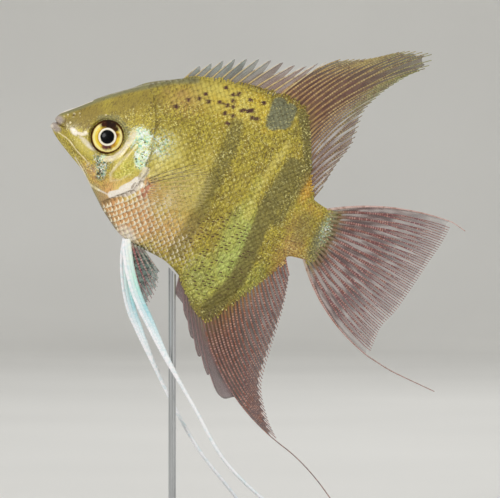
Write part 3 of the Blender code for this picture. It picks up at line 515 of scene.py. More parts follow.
# Fish skin: a thin clear epidermis over gold, silver and dark pigment cells, so a wet gloss over
# a speckled, slightly metallic ground. Real pigment cells are under 0.1 mm; the grain is drawn at
# 0.4 mm, as fine as shows.
skinLook = {
    "ground": ("887a2a", "e0cc4e"),
    "grain": 2.4,           # clumps per mm
    "shade": "94803c",      # broad cloudy patches
    "cloudsPerMm": 0.5,
    "streak": "6c5a2c",
    "streaksPerMm": (2.5, 2.5, 0.3),    # thin along the fish and across it, long up and down
    "streakLean": 0.25,     # radians
    # marking, dark and light tone, how ragged the speckle makes its edge, how patchy it is
    "tints": [("olive", "7c6a26", "a8923e", 0.4, 0.0), ("green", "a0ac4c", "dae680", 0.4, 0.2),
              ("warm", "c8824c", "ffd08c", 0.4, 0.1), ("amber", "b07c28", "f0c04c", 0.5, 0.3),
              ("pale", "c8b448", "f8ea88", 0.6, 0.2), ("gold", "b4942c", "f4dc50", 0.9, 0.4),
              ("rose", "b06850", "e8a888", 0.3, 0.1), ("grey", "686850", "8c8c68", 0.4, 0.0),
              ("lime", "98942c", "e4e068", 0.4, 0.3), ("band", "665e2e", "908648", 0.3, 0.1),
              ("lip", "9c8c80", "bcb0a8", 0.1, 0.0), ("pepper", "4c4430", "a89c58", 0.8, 0.1),
              ("mint", "b0d8b8", "f8fce4", 1.1, 0.35), ("pearl", "dcc47c", "fff8dc", 0.8, 0.4),
              ("white", "e2cfae", "ffffff", 0.8, 0.3), ("dark", "4c2c28", "5c3a30", 0.4, 0.0)],
    # small cells of colour inside three of the markings: how much they show, and tone by share
    # the white cells in the mint are painted sparkle
    "cells": {"mint": (0.95, [(0.0, "343c24"), (0.2, "a4dcbc"), (0.32, "ffffff"), (0.46, "d8f4dc"),
                              (0.56, "f4ec8c"), (0.66, "a4d4b0"), (0.76, "ffffec"), (0.84, "58602c")]),
              "lime": (0.7, [(0.0, "74701c"), (0.24, "c0bc3c"), (0.42, "f8f498"), (0.52, "a4a434"),
                             (0.68, "e4d868"), (0.8, "8c7c2c")]),
              "pepper": (0.95, [(0.0, "181810"), (0.26, "f4f4e4"), (0.34, "2c3828"), (0.5, "8cbcac"),
                                (0.58, "201810"), (0.72, "dccc80"), (0.8, "443020")])},
    "flakesPerMm": 2.3,     # those cells
    "cellsPerMm": 3.3,      # the lone bright specks, which are painted glints, and the dark pits
    # tone of the painted glints
    "glint": "fff6a4",
    "pit": "54481c",
    # part of a scale, how strongly it shows, tone
    # painted shade: each scale darker towards its buried front, where the rear edge of the scale ahead
    # overlaps it
    "scaleParts": [("rootShade", [(0.1, 0.0), (0.8, 0.55)], "54441c"),
                   ("core", [(0.35, 0.0), (0.9, 0.2)], "9c6440"),
                   # the pale rim is partly the breast scales' own cream edge and partly painted glints
                   # along the edges
                   ("rim", [(0.14, 0.0), (0.4, 0.95)], "fff2d2"),
                   ("dot", [(0.44, 0.0), (0.6, 0.9)], "4c3020")],
}


def skinTint(tree, grain, broad, flakes, mark, deep, light, ragged, patchy):
    # a marking's layer: speckled at its edge by the grain, patchy by the broad noise
    amount = addNode(tree, "Attribute", out="Fac", attribute_name=mark)
    full = 1.0 + ragged
    least = full * (1.0 - patchy)
    patches = addNode(tree, "MapRange", {"Value": broad, 1: 0.38, 2: 0.62, 3: least, 4: full})
    amount = addNode(tree, "Math", {0: amount, 1: patches}, operation="MULTIPLY")
    amount = addNode(tree, "Math", {0: grain, 1: -ragged, 2: amount}, operation="MULTIPLY_ADD",
                     use_clamp=True)
    tone = addNode(tree, "Mix", {0: grain, 6: colour(deep), 7: colour(light)}, data_type="RGBA")
    if mark in skinLook["cells"]:
        share, stops = skinLook["cells"][mark]
        cellTone = addNode(tree, "ValToRGB", {"Fac": flakes}, stops=stops)
        tone = addNode(tree, "Mix", {0: share, 6: tone, 7: cellTone}, data_type="RGBA")
    return amount, None, tone


def skinMaterial(name, scaled, **fixed):
    made, tree, shader = newMaterial(name, **fixed)
    place = fishCoordinates(tree)
    clumps = addNode(tree, "TexNoise", {"Vector": place, "Scale": skinLook["grain"], "Detail": 3.0,
                                        "Roughness": 0.65})
    grain = addNode(tree, "ValToRGB", {"Fac": clumps}, stops=[(0.36, 0.0), (0.64, 1.0)])
    broad = addNode(tree, "TexNoise", {"Vector": place, "Scale": skinLook["cloudsPerMm"], "Detail": 2.0})
    shade = addNode(tree, "ValToRGB", {"Fac": broad}, stops=[(0.45, 0.0), (0.7, 0.7)])
    tall = addNode(tree, "Mapping", {"Vector": place, "Rotation": (0.0, skinLook["streakLean"], 0.0),
                                     "Scale": skinLook["streaksPerMm"]})
    streaks = addNode(tree, "TexNoise", {"Vector": tall, "Scale": 1.0, "Detail": 2.0})
    streaks = addNode(tree, "ValToRGB", {"Fac": streaks}, stops=[(0.5, 0.0), (0.68, 0.65)])
    cells = addNode(tree, "TexVoronoi", {"Vector": place, "Scale": skinLook["cellsPerMm"]}, out="Color")
    flakes = addNode(tree, "TexVoronoi", {"Vector": place, "Scale": skinLook["flakesPerMm"]}, out="Color")
    calm = addNode(tree, "Attribute", out="Fac", attribute_name="calm")
    even = addNode(tree, "MapRange", {"Value": calm, 3: 0.0, 4: 0.75})
    grain = addNode(tree, "Mix", {0: even, 2: grain, 3: 0.5})
    lively = addNode(tree, "MapRange", {"Value": calm, 3: 1.0, 4: 0.08})
    # painted glints: bright specks where the cells peak, sprinkled unevenly and fewer where the skin is
    # calm
    glints = addNode(tree, "ValToRGB", {"Fac": cells}, stops=[(0.76, 0.0), (0.8, 0.7)])
    sprinkled = addNode(tree, "ValToRGB", {"Fac": broad}, stops=[(0.4, 0.3), (0.6, 1.0)])
    glints = addNode(tree, "Math", {0: glints, 1: sprinkled}, operation="MULTIPLY")
    glints = addNode(tree, "Math", {0: glints, 1: lively}, operation="MULTIPLY")
    pits = addNode(tree, "ValToRGB", {"Fac": cells}, stops=[(0.22, 0.45), (0.27, 0.0)])
    pits = addNode(tree, "Math", {0: pits, 1: lively}, operation="MULTIPLY")
    dark, light = (colour(tone) for tone in skinLook["ground"])
    base = addNode(tree, "Mix", {0: grain, 6: dark, 7: light}, data_type="RGBA")
    layers = [(shade, None, skinLook["shade"])]
    for tint in skinLook["tints"]:
        layers.append(skinTint(tree, grain, broad, flakes, *tint))
        if tint[0] == "warm":
            layers += [(streaks, None, skinLook["streak"]), (pits, None, skinLook["pit"])]
    # the last tint, the darkest marks, stays on top of what follows
    layers.insert(-1, (glints, None, skinLook["glint"]))
    for mark, stops, tone in skinLook["scaleParts"] if scaled else []:
        amount = addNode(tree, "Attribute", out="Fac", attribute_name=mark)
        layers.insert(-1, (amount, stops, tone))
    base = layOver(tree, base, layers)
    if scaled:
        tone = addNode(tree, "Attribute", out="Fac", attribute_name="tone")
        tone = addNode(tree, "ValToRGB", {"Fac": tone}, stops=[(0.0, 0.3), (1.0, 0.8)])
        base = addNode(tree, "Mix", {0: 0.35, 6: base, 7: tone}, data_type="RGBA", blend_type="SOFT_LIGHT")
    gloss = addNode(tree, "ValToRGB", {"Fac": clumps}, stops=[(0.3, 0.55), (0.7, 0.35)])
    bump = addNode(tree, "Bump", {"Strength": 0.35, "Distance": 0.06 * mm, "Height": clumps})
    return link(made, shader, Base_Color=base, Roughness=gloss, Normal=bump)


def toMesh(bm, name):
    mesh = bpy.data.meshes.new(name)
    bm.to_mesh(mesh)
    bm.free()
    return mesh


def link(made, shader, **outputs):
    # outputs of nodes to the shader's sockets
    for key, output in outputs.items():
        made.node_tree.links.new(output, shader.inputs[key.replace("_", " ")])
    return made


def addObject(name, data):
    made = bpy.data.objects.new(name, data)
    bpy.context.scene.collection.objects.link(made)
    return made


def finish(mesh, name, material, slot, *nodes):
    # an object at the origin that rides with the fish and stands for the nodes it covers
    made = addObject(name, mesh)
    mesh.materials.clear()
    mesh.materials.append(material)
    mesh.shade_smooth()
    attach(made, "root")
    if nodes:
        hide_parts(*nodes)
    return made


def outwards(bm):
    bmesh.ops.recalc_face_normals(bm, faces=bm.faces)
    if bm.calc_volume(signed=True) < 0.0:
        bmesh.ops.reverse_faces(bm, faces=bm.faces)


def carry(bm):
    # faces outwards, and the shape from the fish's millimetres to its place
    outwards(bm)
    bmesh.ops.transform(bm, matrix=toWorld, verts=bm.verts)


def makeSkin():
    stations = len(surface.s)
    rounds = skinGrid["round"]
    bm = bmesh.new()
    bmesh.ops.create_grid(bm, x_segments=stations - 1, y_segments=2 * rounds, size=1.0)
    for vert in bm.verts:
        i = round((vert.co.x + 1.0) / 2.0 * (stations - 1))
        k = round((vert.co.y + 1.0) * rounds)
        x, y, z = surface.points[i, k if k <= rounds else 2 * rounds - k]
        vert.co = (x, -y if k <= rounds else y, z)
    bmesh.ops.remove_doubles(bm, verts=bm.verts, dist=0.002)
    bmesh.ops.dissolve_degenerate(bm, edges=bm.edges, dist=0.0005)
    carry(bm)
    mesh = toMesh(bm, "body_skin")
    writeMarks(mesh)
    look = skinMaterial("wet fish skin", False, Metallic=0.12, Coat_Weight=0.2, Coat_Roughness=0.14,
                        Specular_IOR_Level=0.35)
    return finish(mesh, "body_skin", look, "head_skin", "head", "lower_jaw", "gill_cover_left",
                  "gill_cover_right", "trunk", "tail_stalk")


skin = makeSkin()
print("skin:", len(skin.data.polygons), "faces")


scales = {
    "pitch": 1.72,          # mm from one scale to the next along a row
    "row": 1.02,            # mm from row to row
    "length": 1.6,          # of a scale, in pitches
    "width": 1.2,           # half width, in rows
    "root": 0.62,           # share of the length that lies ahead of its place
    "hinge": 0.25,          # share of the length from which it rises
    "thickness": 0.05,      # mm
    "lift": 0.12,           # how far a rear edge stands off the skin
    "raised": ((31, -15), (14, 10), 0.6),   # where they stand further off: centre, half sizes, soft
    "rearCurve": 0.36,      # how round the rear edge is
    "turn": 0.08,           # how unevenly they lie, in radians
    "shift": 0.09,          # and in mm
    "dotted": 0.42,         # share of scales with a dark dot
    "rimStrength": (0.82, 0.25),    # mean and spread
    "rows": 60,             # up and down from the middle line
    "from": 14.0,           # stations of the first and last
    "to": 89.0,
    "small": [(16, 0.7), (23, 1.02), (32, 1.12), (46, 1.02), (60, 1.0), (72, 0.86), (80, 0.7), (90, 0.55)],
    "patch": 0.003,         # size of a scale's patch on the OFBake map
    "mapReach": 92.0,       # mm of the body that the map holds
    "seed": 4,
}


def scaleShape():
    # one scale: a rounded shield, x from its buried front edge to its rear edge, y across
    bm = bmesh.new()
    bmesh.ops.create_grid(bm, x_segments=3, y_segments=4, size=1.0)
    for vert in bm.verts:
        a = (vert.co.x + 1.0) / 2.0
        b = vert.co.y
        rear = 1.0 - scales["rearCurve"] * b * b
        x = a * (rear if a > 0.0 else 0.0) + (0.16 * b * b) * (1.0 - a)
        y = b * (0.82 + 0.18 * math.sin(math.pi * min(a * 0.9 + 0.1, 1.0))) * (1.0 - 0.12 * a ** 3)
        vert.co = (x, y, 0.02 * (1.0 - b * b))
    bmesh.ops.solidify(bm, geom=bm.faces[:], thickness=scales["thickness"])
    outwards(bm)
    bm.verts.ensure_lookup_table()
    verts = np.array([v.co for v in bm.verts])
    faces = [[v.index for v in f.verts] for f in bm.faces]
    bm.free()
    return verts, faces


def scaleRoots():
    # station, distance round the side and size of each scale, in offset rows that draw in to the tail
    places = []
    fine = np.linspace(scales["from"], scales["to"], 1501)
    size = smoothLine(scales["small"], fine)
    run = np.concatenate([[0.0], np.cumsum(np.diff(fine) / (scales["pitch"] * size[1:]))])
    for row in range(-scales["rows"], scales["rows"] + 1):
        at = np.arange(0.5 * (row % 2), run[-1], 1.0)
        s = np.interp(at, run, fine)
        small = smoothLine(scales["small"], s)
        g = row * scales["row"] * small
        above = np.interp(s, surface.s, surface.above)
        below = np.interp(s, surface.s, surface.below)
        inside = (g < above - 0.5) & (g > 0.5 - below)
        places += [(a, b, c) for a, b, c, ok in zip(s, g, small, inside) if ok]
    return np.array(places)


def makeScales(side, sign):
    rng = np.random.default_rng(scales["seed"])
    shape = scaleShape()[0]
    roots = scaleRoots()
    centre = surface.read(surface.points, roots[:, 0], roots[:, 1])
    away, before = lineDistance(head["gillLine"], centre[:, 0], centre[:, 2])
    behind = (before > 0.0) & (away > 0.35)
    s0, g0, small = roots[behind].T
    centre = centre[behind]
    count = len(s0)
    jitter = rng.normal(0.0, 1.0, (count, 4))
    length = scales["pitch"] * scales["length"] * small * (1.0 + 0.04 * jitter[:, 0])
    width = scales["row"] * scales["width"] * small * (1.0 + 0.03 * jitter[:, 1])
    tilt = scales["lift"] * (0.75 + 0.5 * blob(s0, centre[:, 2], *scales["raised"])) * small
    turn = scales["turn"] * jitter[:, 2]
    s0 = s0 + scales["shift"] * small * jitter[:, 3]
    a, b, c = shape.T
    x = (a[None, :] - scales["root"]) * length[:, None]
    y = b[None, :] * width[:, None]
    s = s0[:, None] + x * np.cos(turn)[:, None] - y * np.sin(turn)[:, None]
    g = g0[:, None] + x * np.sin(turn)[:, None] + y * np.cos(turn)[:, None]
    rise = (a[None, :] - scales["hinge"]) * (1.0 - 0.25 * b * b)[None, :]
    lift = rise * tilt[:, None] + c[None, :]
    points = surface.read(surface.points, s, g) + surface.read(surface.normal, s, g) * lift[..., None]
    points[..., 0] += np.maximum(s - body["end"], 0.0)
    points[..., 1] *= sign
    return joinScales("scales_" + side, points, s0, g0, rng)


def joinScales(name, points, s0, g0, rng):
    # scales as one mesh, with the markings, the tones within each scale and its place on the map
    shape, faces = scaleShape()
    a, b = shape[:, 0], shape[:, 1]
    count = len(points)
    joined = [[v + n * len(shape) for v in face] for n in range(count) for face in faces]
    mesh = bpy.data.meshes.new(name)
    mesh.from_pydata(moved(points, toWorld).tolist(), [], joined)
    bm = bmesh.new()
    bm.from_mesh(mesh)
    outwards(bm)
    bm.to_mesh(mesh)
    bm.free()
    writeMarks(mesh)
    writeNumber(mesh, "tone", np.repeat(rng.random(count), len(shape)))
    back = a / (1.0 - scales["rearCurve"] * b * b)
    rims = readNumber(mesh, "rims")
    strength = np.clip(rng.normal(*scales["rimStrength"], count), 0.35, 1.0)[:, None]
    # pale rim at each scale's rear edge on the breast: partly its own colour, partly painted glints
    writeNumber(mesh, "rim", (step(0.7, 0.95, back) * strength).ravel() * (0.1 + 0.9 * rims))
    # painted shade at the front of each scale, under the rear edge of the scale ahead
    writeNumber(mesh, "rootShade", ((1.0 - step(0.35, 0.75, back)) * strength).ravel())
    writeNumber(mesh, "core", np.tile(np.where(back < 0.9, 1.0 - 0.7 * b * b, 0.0), count) * rims)
    middle = np.where((np.abs(b) < 0.1) & (back > 0.5) & (back < 0.9), 1.0, 0.0)
    dotted = rng.random((count, 1)) < scales["dotted"]
    writeNumber(mesh, "dot", (middle * dotted).ravel() * readNumber(mesh, "dots"))
    patchMap(mesh, s0, g0, shape, count)
    look = skinMaterial("fish " + name.replace("_", " "), True, Metallic=0.15, Coat_Weight=0.18,
                        Coat_Roughness=0.15, Specular_IOR_Level=0.35)
    return finish(mesh, name, look, "flank_scales")


def patchMap(mesh, s0, g0, shape, count):
    # OFBake: each scale is a small patch at its root's place on the unrolled side of the body
    half = scales["patch"] / 2.0
    u = 0.04 + 0.92 * s0 / scales["mapReach"]
    v = 0.5 + g0 / scales["mapReach"]
    corner = np.repeat(np.stack([u, v], 1), len(shape), 0)
    local = np.tile((shape[:, :2] - [0.5, 0.0]) * [2.0 * half, half], (count, 1))
    places = corner + local
    loops = np.empty(len(mesh.loops), int)
    mesh.loops.foreach_get("vertex_index", loops)
    layer = mesh.uv_layers.new(name="OFBake")
    layer.data.foreach_set("uv", places[loops].ravel())


for side, sign in sides:
    made = makeScales(side, sign)
    print("scales", side, len(made.data.polygons), "faces")


# Eyeball under a wet cornea: black pupil, cream rim round it, gold iris with dark brown above and
# plum below, thin dark edge. Rings are shares of the ball's radius from its axis.
eyes = {
    "radius": 5.2,
    "depth": 2.7,
    "centre": 3.8,          # of the ball from the middle of the head
    "pupil": 2.02,
    "lens": 0.12,           # height of the pupil's bulge
    "dip": (0.2, 2.9, 0.5),     # of the iris round it: depth, radius, half width
    "ragged": 0.22,         # mm to and fro of the rings' edges
    "rings": [(0.0, "050506"), (0.385, "08080a"), (0.4, "ece4cc"), (0.495, "fff8e8"), (0.52, "b08c30"),
              (0.57, "e0bc34"), (0.68, "f0d450"), (0.75, "faf0a8"), (0.835, "f4e088"), (0.86, "5c3410"),
              (1.0, "20140c")],
    # centre, radius and tone of the dark parts
    "sectors": [((-1.3, 3.6), 1.25, "22130c"), ((-2.5, 2.9), 0.9, "3c1c0c"), ((0.2, 3.6), 1.15, "2c1a14"),
                ((1.4, 3.0), 0.85, "3c2410"), ((2.5, 1.6), 0.55, "8c5c20"), ((0.9, -3.0), 0.62, "4c2840"),
                ((1.8, -2.5), 0.6, "5c3430"), ((0.1, -3.1), 0.5, "6c3c3c"), ((2.7, -1.4), 0.6, "b8842c")],
}


def makeEye(side, sign):
    bm = bmesh.new()
    bmesh.ops.create_uvsphere(bm, u_segments=72, v_segments=48, radius=1.0,
                              matrix=Matrix.Rotation(math.pi / 2.0, 4, "X"))
    for vert in bm.verts:
        r = math.hypot(vert.co.x, vert.co.z) * eyes["radius"]
        high = eyes["depth"] * vert.co.y * sign
        if high > 0.0:
            bulge = eyes["lens"] * math.sqrt(max(1.0 - (r / eyes["pupil"]) ** 2, 0.0))
            high += bulge - ridge(eyes["dip"][0], r, *eyes["dip"][1:])
        x, z = vert.co.x * eyes["radius"], vert.co.z * eyes["radius"]
        lean = head["eyeTilt"][0] * x + head["eyeTilt"][1] * z
        vert.co = (x + body["eye"][0], sign * (eyes["centre"] + lean + high), z + body["eye"][1])
    carry(bm)
    finish(toMesh(bm, "eyeball_" + side), "eyeball_" + side, eyeMaterial(side), "eye", "eye_" + side)


def eyeMaterial(side):
    made, tree, shader = newMaterial("wet eye " + side, Roughness=0.3, Specular_IOR_Level=0.05,
                                     Coat_Weight=0.17, Coat_Roughness=0.03, Coat_IOR=1.376)
    place = fishCoordinates(tree, (body["eye"][0], 0.0, body["eye"][1]))
    flat = addNode(tree, "VectorMath", {0: place, 1: (1.0, 0.0, 1.0)}, operation="MULTIPLY")
    ragged = addNode(tree, "TexNoise", {"Vector": flat, "Scale": 1.1, "Detail": 2.0})
    away = addNode(tree, "VectorMath", {0: flat}, operation="LENGTH")
    away = addNode(tree, "Math", {0: ragged, 1: eyes["ragged"], 2: away}, operation="MULTIPLY_ADD")
    even = eyes["ragged"] / 2.0
    ring = addNode(tree, "MapRange", {"Value": away, 1: even, 2: eyes["radius"] + even})
    base = addNode(tree, "ValToRGB", {"Fac": ring}, stops=eyes["rings"])
    outside = addNode(tree, "ValToRGB", {"Fac": ring}, stops=[(0.49, 0.0), (0.53, 1.0)])
    for middle, size, tone in eyes["sectors"]:
        near = addNode(tree, "VectorMath", {0: flat, 1: (middle[0], 0.0, middle[1])}, operation="DISTANCE")
        near = addNode(tree, "Math", {0: ragged, 1: 0.9, 2: near}, operation="MULTIPLY_ADD")
        amount = addNode(tree, "MapRange", {"Value": near, 1: size + 1.0, 2: size + 0.1})
        amount = addNode(tree, "Math", {0: amount, 1: outside}, operation="MULTIPLY")
        base = addNode(tree, "Mix", {0: amount, 6: base, 7: colour(tone)}, data_type="RGBA")
    flecks = addNode(tree, "TexNoise", {"Vector": flat, "Scale": 4.0, "Detail": 2.0})
    flecks = addNode(tree, "ValToRGB", {"Fac": flecks}, stops=[(0.35, 0.25), (0.65, 0.8)])
    base = addNode(tree, "Mix", {0: 0.4, 6: base, 7: flecks}, data_type="RGBA", blend_type="SOFT_LIGHT")
    return link(made, shader, Base_Color=base)


for side, sign in sides:
    makeEye(side, sign)
print("eyes made")


def onFin(fin, t, v):
    # places on a fin, t of the way along its base and v of the way out along its rays
    root, tip = alongLine(fin["root"], t), alongLine(fin["tips"], t)
    reach = tip - root
    bow = smoothLine(fin["bow"], t)[..., None]
    bend = root + reach * 0.5 + np.stack([-reach[..., 1], reach[..., 0]], -1) * bow
    w = np.asarray(v)[..., None]
    flat = root * (1 - w) ** 2 + bend * 2 * w * (1 - w) + tip * w * w
    return np.stack([flat[..., 0], fin["side"](flat, t, v), flat[..., 1]], -1)


def wave(amount, turns, start=0.0):
    # gentle ripple of a fin's blade, growing outwards
    def side(flat, t, v):
        return amount * v ** 1.5 * np.sin(2.0 * math.pi * (turns * t + 0.5 * v) + start)
    return side


# what a fin leaves out: it has no forks, joints or trails, and its rays reach its edge
plainFin = {"forks": [], "spread": 0.0, "beads": 0.0, "trails": {}, "rodEnd": 1.0}

finShape = {
    "raySides": 6,
    "step": 0.5,            # mm along a plain ray
    "bulge": 0.16,          # of a joint, share of the radius
    "branch": 0.76,         # of a branch's radius to its trunk's
    "overlap": 0.02,        # of a trunk into its branches, share of the ray's length
    "opening": 0.3,         # the share over which branches part
    "trailEnd": 0.14,       # radius
    "thickness": 0.16,      # of the membrane, mm
    "betweenRays": 8,       # steps of the membrane
    "alongRays": 40,
}


def rod(points, radius, beads=0.0, **numbers):
    # a round line with its radii, evenly spaced; beads is the pitch of the ray's joints in mm
    points = np.asarray(points, float)
    run = runLength(points)
    count = max(int(run[-1] / (beads / 3.0 if beads else finShape["step"])), 4)
    at = np.linspace(0.0, run[-1], count + 1)
    even = np.stack([np.interp(at, run, axis) for axis in points.T], 1)
    radii = np.interp(at / run[-1], np.linspace(0, 1, len(radius)), radius)
    bead = 0.5 + 0.5 * np.cos(2.0 * math.pi * at / beads) if beads else np.zeros(len(at))
    kept = {name: np.interp(at, run, np.broadcast_to(value, len(points)))
            for name, value in numbers.items()}
    return even, radii * (1.0 + finShape["bulge"] * bead), {"bead": bead, **kept}


def forkedRays(fin):
    # each ray is a trunk that forks at shares of its length, and may run on as a trail
    rods = []
    count = fin["rays"]
    gap = 1.0 / (count - 1)
    for k in range(count):
        t0 = k * gap
        forks = fin["forks"] if 0 < k < count - 1 else []
        stops = [0.0, *forks, 1.0]
        thick, thin = fin["radius"]
        for level in range(len(stops) - 1):
            last = level == len(stops) - 2
            end = 1.0 if last else stops[level + 1] + finShape["overlap"]
            v = np.linspace(stops[level], end, 24)
            for branch in range(2 ** level):
                spread = np.zeros_like(v)
                for lower in range(level):
                    way = 1.0 if (branch >> (level - 1 - lower)) & 1 else -1.0
                    opening = step(stops[lower + 1], stops[lower + 1] + finShape["opening"], v)
                    spread = spread + way * fin["spread"] / 2 ** lower * opening
                points = onFin(fin, np.clip(t0 + spread * gap, 0.0, 1.0), v * fin["rodEnd"])
                radii = (thick + (thin - thick) * v ** 0.7) * finShape["branch"] ** level
                out = v
                if last and k in fin["trails"]:
                    trail = np.vstack([points[-1, (0, 2)], fin["trails"][k]])
                    more = alongLine(trail, np.linspace(0.0, 1.0, 20)[1:])
                    points = np.vstack([points, np.insert(more, 1, points[-1, 1], axis=1)])
                    radii = np.concatenate([radii, np.linspace(radii[-1], finShape["trailEnd"], 19)])
                    out = np.concatenate([v, np.linspace(1.0, 1.6, 19)])
                rods.append(rod(points, radii, fin["beads"], out=out, across=t0))
    return rods


def rodMesh(name, rods, faces):
    # the rods as bevelled curve lines in one mesh with closed ends, and their numbers on its vertices
    curve = bpy.data.curves.new(name, "CURVE")
    curve.dimensions = "3D"
    curve.bevel_depth = 1.0
    curve.bevel_resolution = (faces - 4) // 2
    for points, radii, numbers in rods:
        line = curve.splines.new("POLY")
        line.points.add(len(points) - 1)
        line.points.foreach_set("co", np.insert(points, 3, 1.0, axis=1).ravel())
        line.points.foreach_set("radius", radii)
    holder = bpy.data.objects.new(name, curve)
    mesh = bpy.data.meshes.new_from_object(holder)
    bpy.data.objects.remove(holder)
    bpy.data.curves.remove(curve)
    for key in rods[0][2]:
        values = np.concatenate([numbers[key] for _, _, numbers in rods])
        writeNumber(mesh, key, np.repeat(values, faces))
    bm = bmesh.new()
    bm.from_mesh(mesh)
    bmesh.ops.holes_fill(bm, edges=[e for e in bm.edges if e.is_boundary], sides=faces)
    carry(bm)
    bm.to_mesh(mesh)
    bm.free()
    return mesh


def membraneMesh(name, fin):
    # the blade between the rays, notched between their tips
    bm = bmesh.new()
    bmesh.ops.create_grid(bm, x_segments=(fin["rays"] - 1) * finShape["betweenRays"],
                          y_segments=finShape["alongRays"], size=0.5)
    mesh = toMesh(bm, name)
    t, v = np.clip(vertexPlaces(mesh)[:, :2].T + 0.5, 0.0, 1.0)
    ray = np.round(t * (fin["rays"] - 1), 3)
    v = v * fin["edge"](ray % 1.0, t)
    points = onFin(fin, t, v)
    mesh.vertices.foreach_set("co", points.ravel())
    mesh.transform(toWorld)
    root = onFin(fin, t, np.zeros_like(v))
    for key, value in (("out", v), ("across", t), ("ray", ray), ("between", np.sin(math.pi * ray)),
                       ("run", np.linalg.norm(points - root, axis=1))):
        writeNumber(mesh, key, np.abs(value))
    return mesh


def leaf(between):
    # a pointed lobe behind each spine, that falls away to the next one
    rise = 0.06 * np.maximum(1.0 - between / 0.125, 0.0)
    fall = 0.52 * np.maximum((between - 0.125) / 0.875, 0.0) ** 1.15
    return 1.0 - rise - fall


def scallop(reach, dip):
    # an edge that dips between the rays, which stand a little past it
    return lambda between, t: reach - dip * np.sin(math.pi * between)


everywhere = [(0.0, 1.0), (1.0, 1.0)]
nowhere = [(0.0, 0.0), (1.0, 0.0)]
# what a fin's own look leaves out
plainLook = {
    "front": nowhere, "frontTone": "808080",    # a tone over part of the fin, front to rear
    "rear": nowhere, "rearTone": "808080",
    "bead": "808080", "beadStrength": 0.0,      # the joints' own tone
    "slant": 0.0,           # of the streaks and rows, mm per ray
    "rows": 3.0, "rowTone": "808080", "rowStrength": 0.0,    # mm from row to row
    "gapStrength": 0.0,     # how dark the middle between two rays is
    "windows": 0.5, "least": 0.3,               # how clear the clearest and the other places are
    "windowsFrom": everywhere, "streaked": True,
}


# Fin rays: chains of tiny bone joints under thin skin, so satin rods with pale joints.
def rayMaterial(name, look):
    look = {**plainLook, **look}
    made, tree, shader = newMaterial(name, Roughness=0.38, Coat_Weight=0.2, Coat_Roughness=0.2)
    out, across, joint = (addNode(tree, "Attribute", out="Fac", attribute_name=number)
                          for number in ("out", "across", "bead"))
    place = fishCoordinates(tree)
    clumps = addNode(tree, "TexNoise", {"Vector": place, "Scale": 0.9, "Detail": 3.0})
    uneven = addNode(tree, "TexNoise", {"Vector": place, "Scale": 1.3, "Detail": 2.0})
    bead = addNode(tree, "Math", {0: uneven, 1: 2.0, 2: -0.45}, operation="MULTIPLY_ADD", use_clamp=True)
    bead = addNode(tree, "Math", {0: bead, 1: joint}, operation="MULTIPLY")
    off = addNode(tree, "ValToRGB", {"Fac": out}, stops=[(0.06, 0.1), (0.25, 1.0)])
    bead = addNode(tree, "Math", {0: bead, 1: off}, operation="MULTIPLY")
    base = addNode(tree, "ValToRGB", {"Fac": out}, stops=look["rays"])
    base = layOver(tree, base, [
        (across, look["front"], look["frontTone"]), (across, look["rear"], look["rearTone"]),
        (clumps, [(0.45, 0.0), (0.68, 0.75)], look["mottle"]),
        (bead, [(0.25, 0.0), (0.6, look["beadStrength"])], look["bead"])])
    return link(made, shader, Base_Color=base)


# Fin membrane: two layers of skin with a little pigment, stretched between the rays, so thin, wet
# and clear with darker streaks and rows of clear windows.
def membraneMaterial(name, look):
    look = {**plainLook, **look}
    made, tree, shader = newMaterial(name, Roughness=0.3, Coat_Weight=0.3, Coat_Roughness=0.15)
    out, across, between, ray, run = (addNode(tree, "Attribute", out="Fac", attribute_name=number)
                                      for number in ("out", "across", "between", "ray", "run"))
    slanted = addNode(tree, "Math", {0: ray, 1: look["slant"], 2: run}, operation="MULTIPLY_ADD")
    along = addNode(tree, "CombineXYZ", {"X": slanted, "Y": ray})
    stretched = addNode(tree, "Mapping", {"Vector": along, "Scale": (0.12, 1.2, 1.0)})
    streaks = addNode(tree, "TexNoise", {"Vector": stretched, "Scale": 1.0, "Detail": 2.0})
    rows = addNode(tree, "TexWave", {"Vector": along, "Scale": 0.314 / look["rows"], "Distortion": 2.4,
                                     "Detail": 1.5, "Detail Scale": 4.0})
    place = fishCoordinates(tree)
    clumps = addNode(tree, "TexNoise", {"Vector": place, "Scale": 1.4, "Detail": 3.0})
    base = addNode(tree, "ValToRGB", {"Fac": out}, stops=look["membrane"])
    base = layOver(tree, base, [
        (clumps, [(0.42, 0.0), (0.62, 0.8)], look["mottle"]),
        (between, [(0.5, 0.0), (1.0, look["gapStrength"])], look["streak"]),
        (streaks, [(0.48, 0.0), (0.64, look["streakStrength"])], look["streak"]),
        (rows, [(0.5, 0.0), (0.8, look["rowStrength"])], look["rowTone"]),
        (across, look["rear"], look["rearTone"])])
    solid = addNode(tree, "ValToRGB", {"Fac": out}, stops=look["solid"])
    holes = streaks if look["streaked"] else rows
    holes = addNode(tree, "ValToRGB", {"Fac": holes}, stops=[(0.4, look["windows"]), (0.58, look["least"])])
    where = addNode(tree, "ValToRGB", {"Fac": across}, stops=look["windowsFrom"])
    middle = addNode(tree, "ValToRGB", {"Fac": between}, stops=[(0.15, 0.15), (0.75, 1.0)])
    holes = addNode(tree, "Math", {0: holes, 1: where}, operation="MULTIPLY")
    holes = addNode(tree, "Math", {0: holes, 1: middle}, operation="MULTIPLY")
    clear = addNode(tree, "Math", {0: 1.0, 1: holes}, operation="SUBTRACT")
    alpha = addNode(tree, "Math", {0: solid, 1: clear}, operation="MULTIPLY")
    return link(made, shader, Base_Color=base, Alpha=alpha)


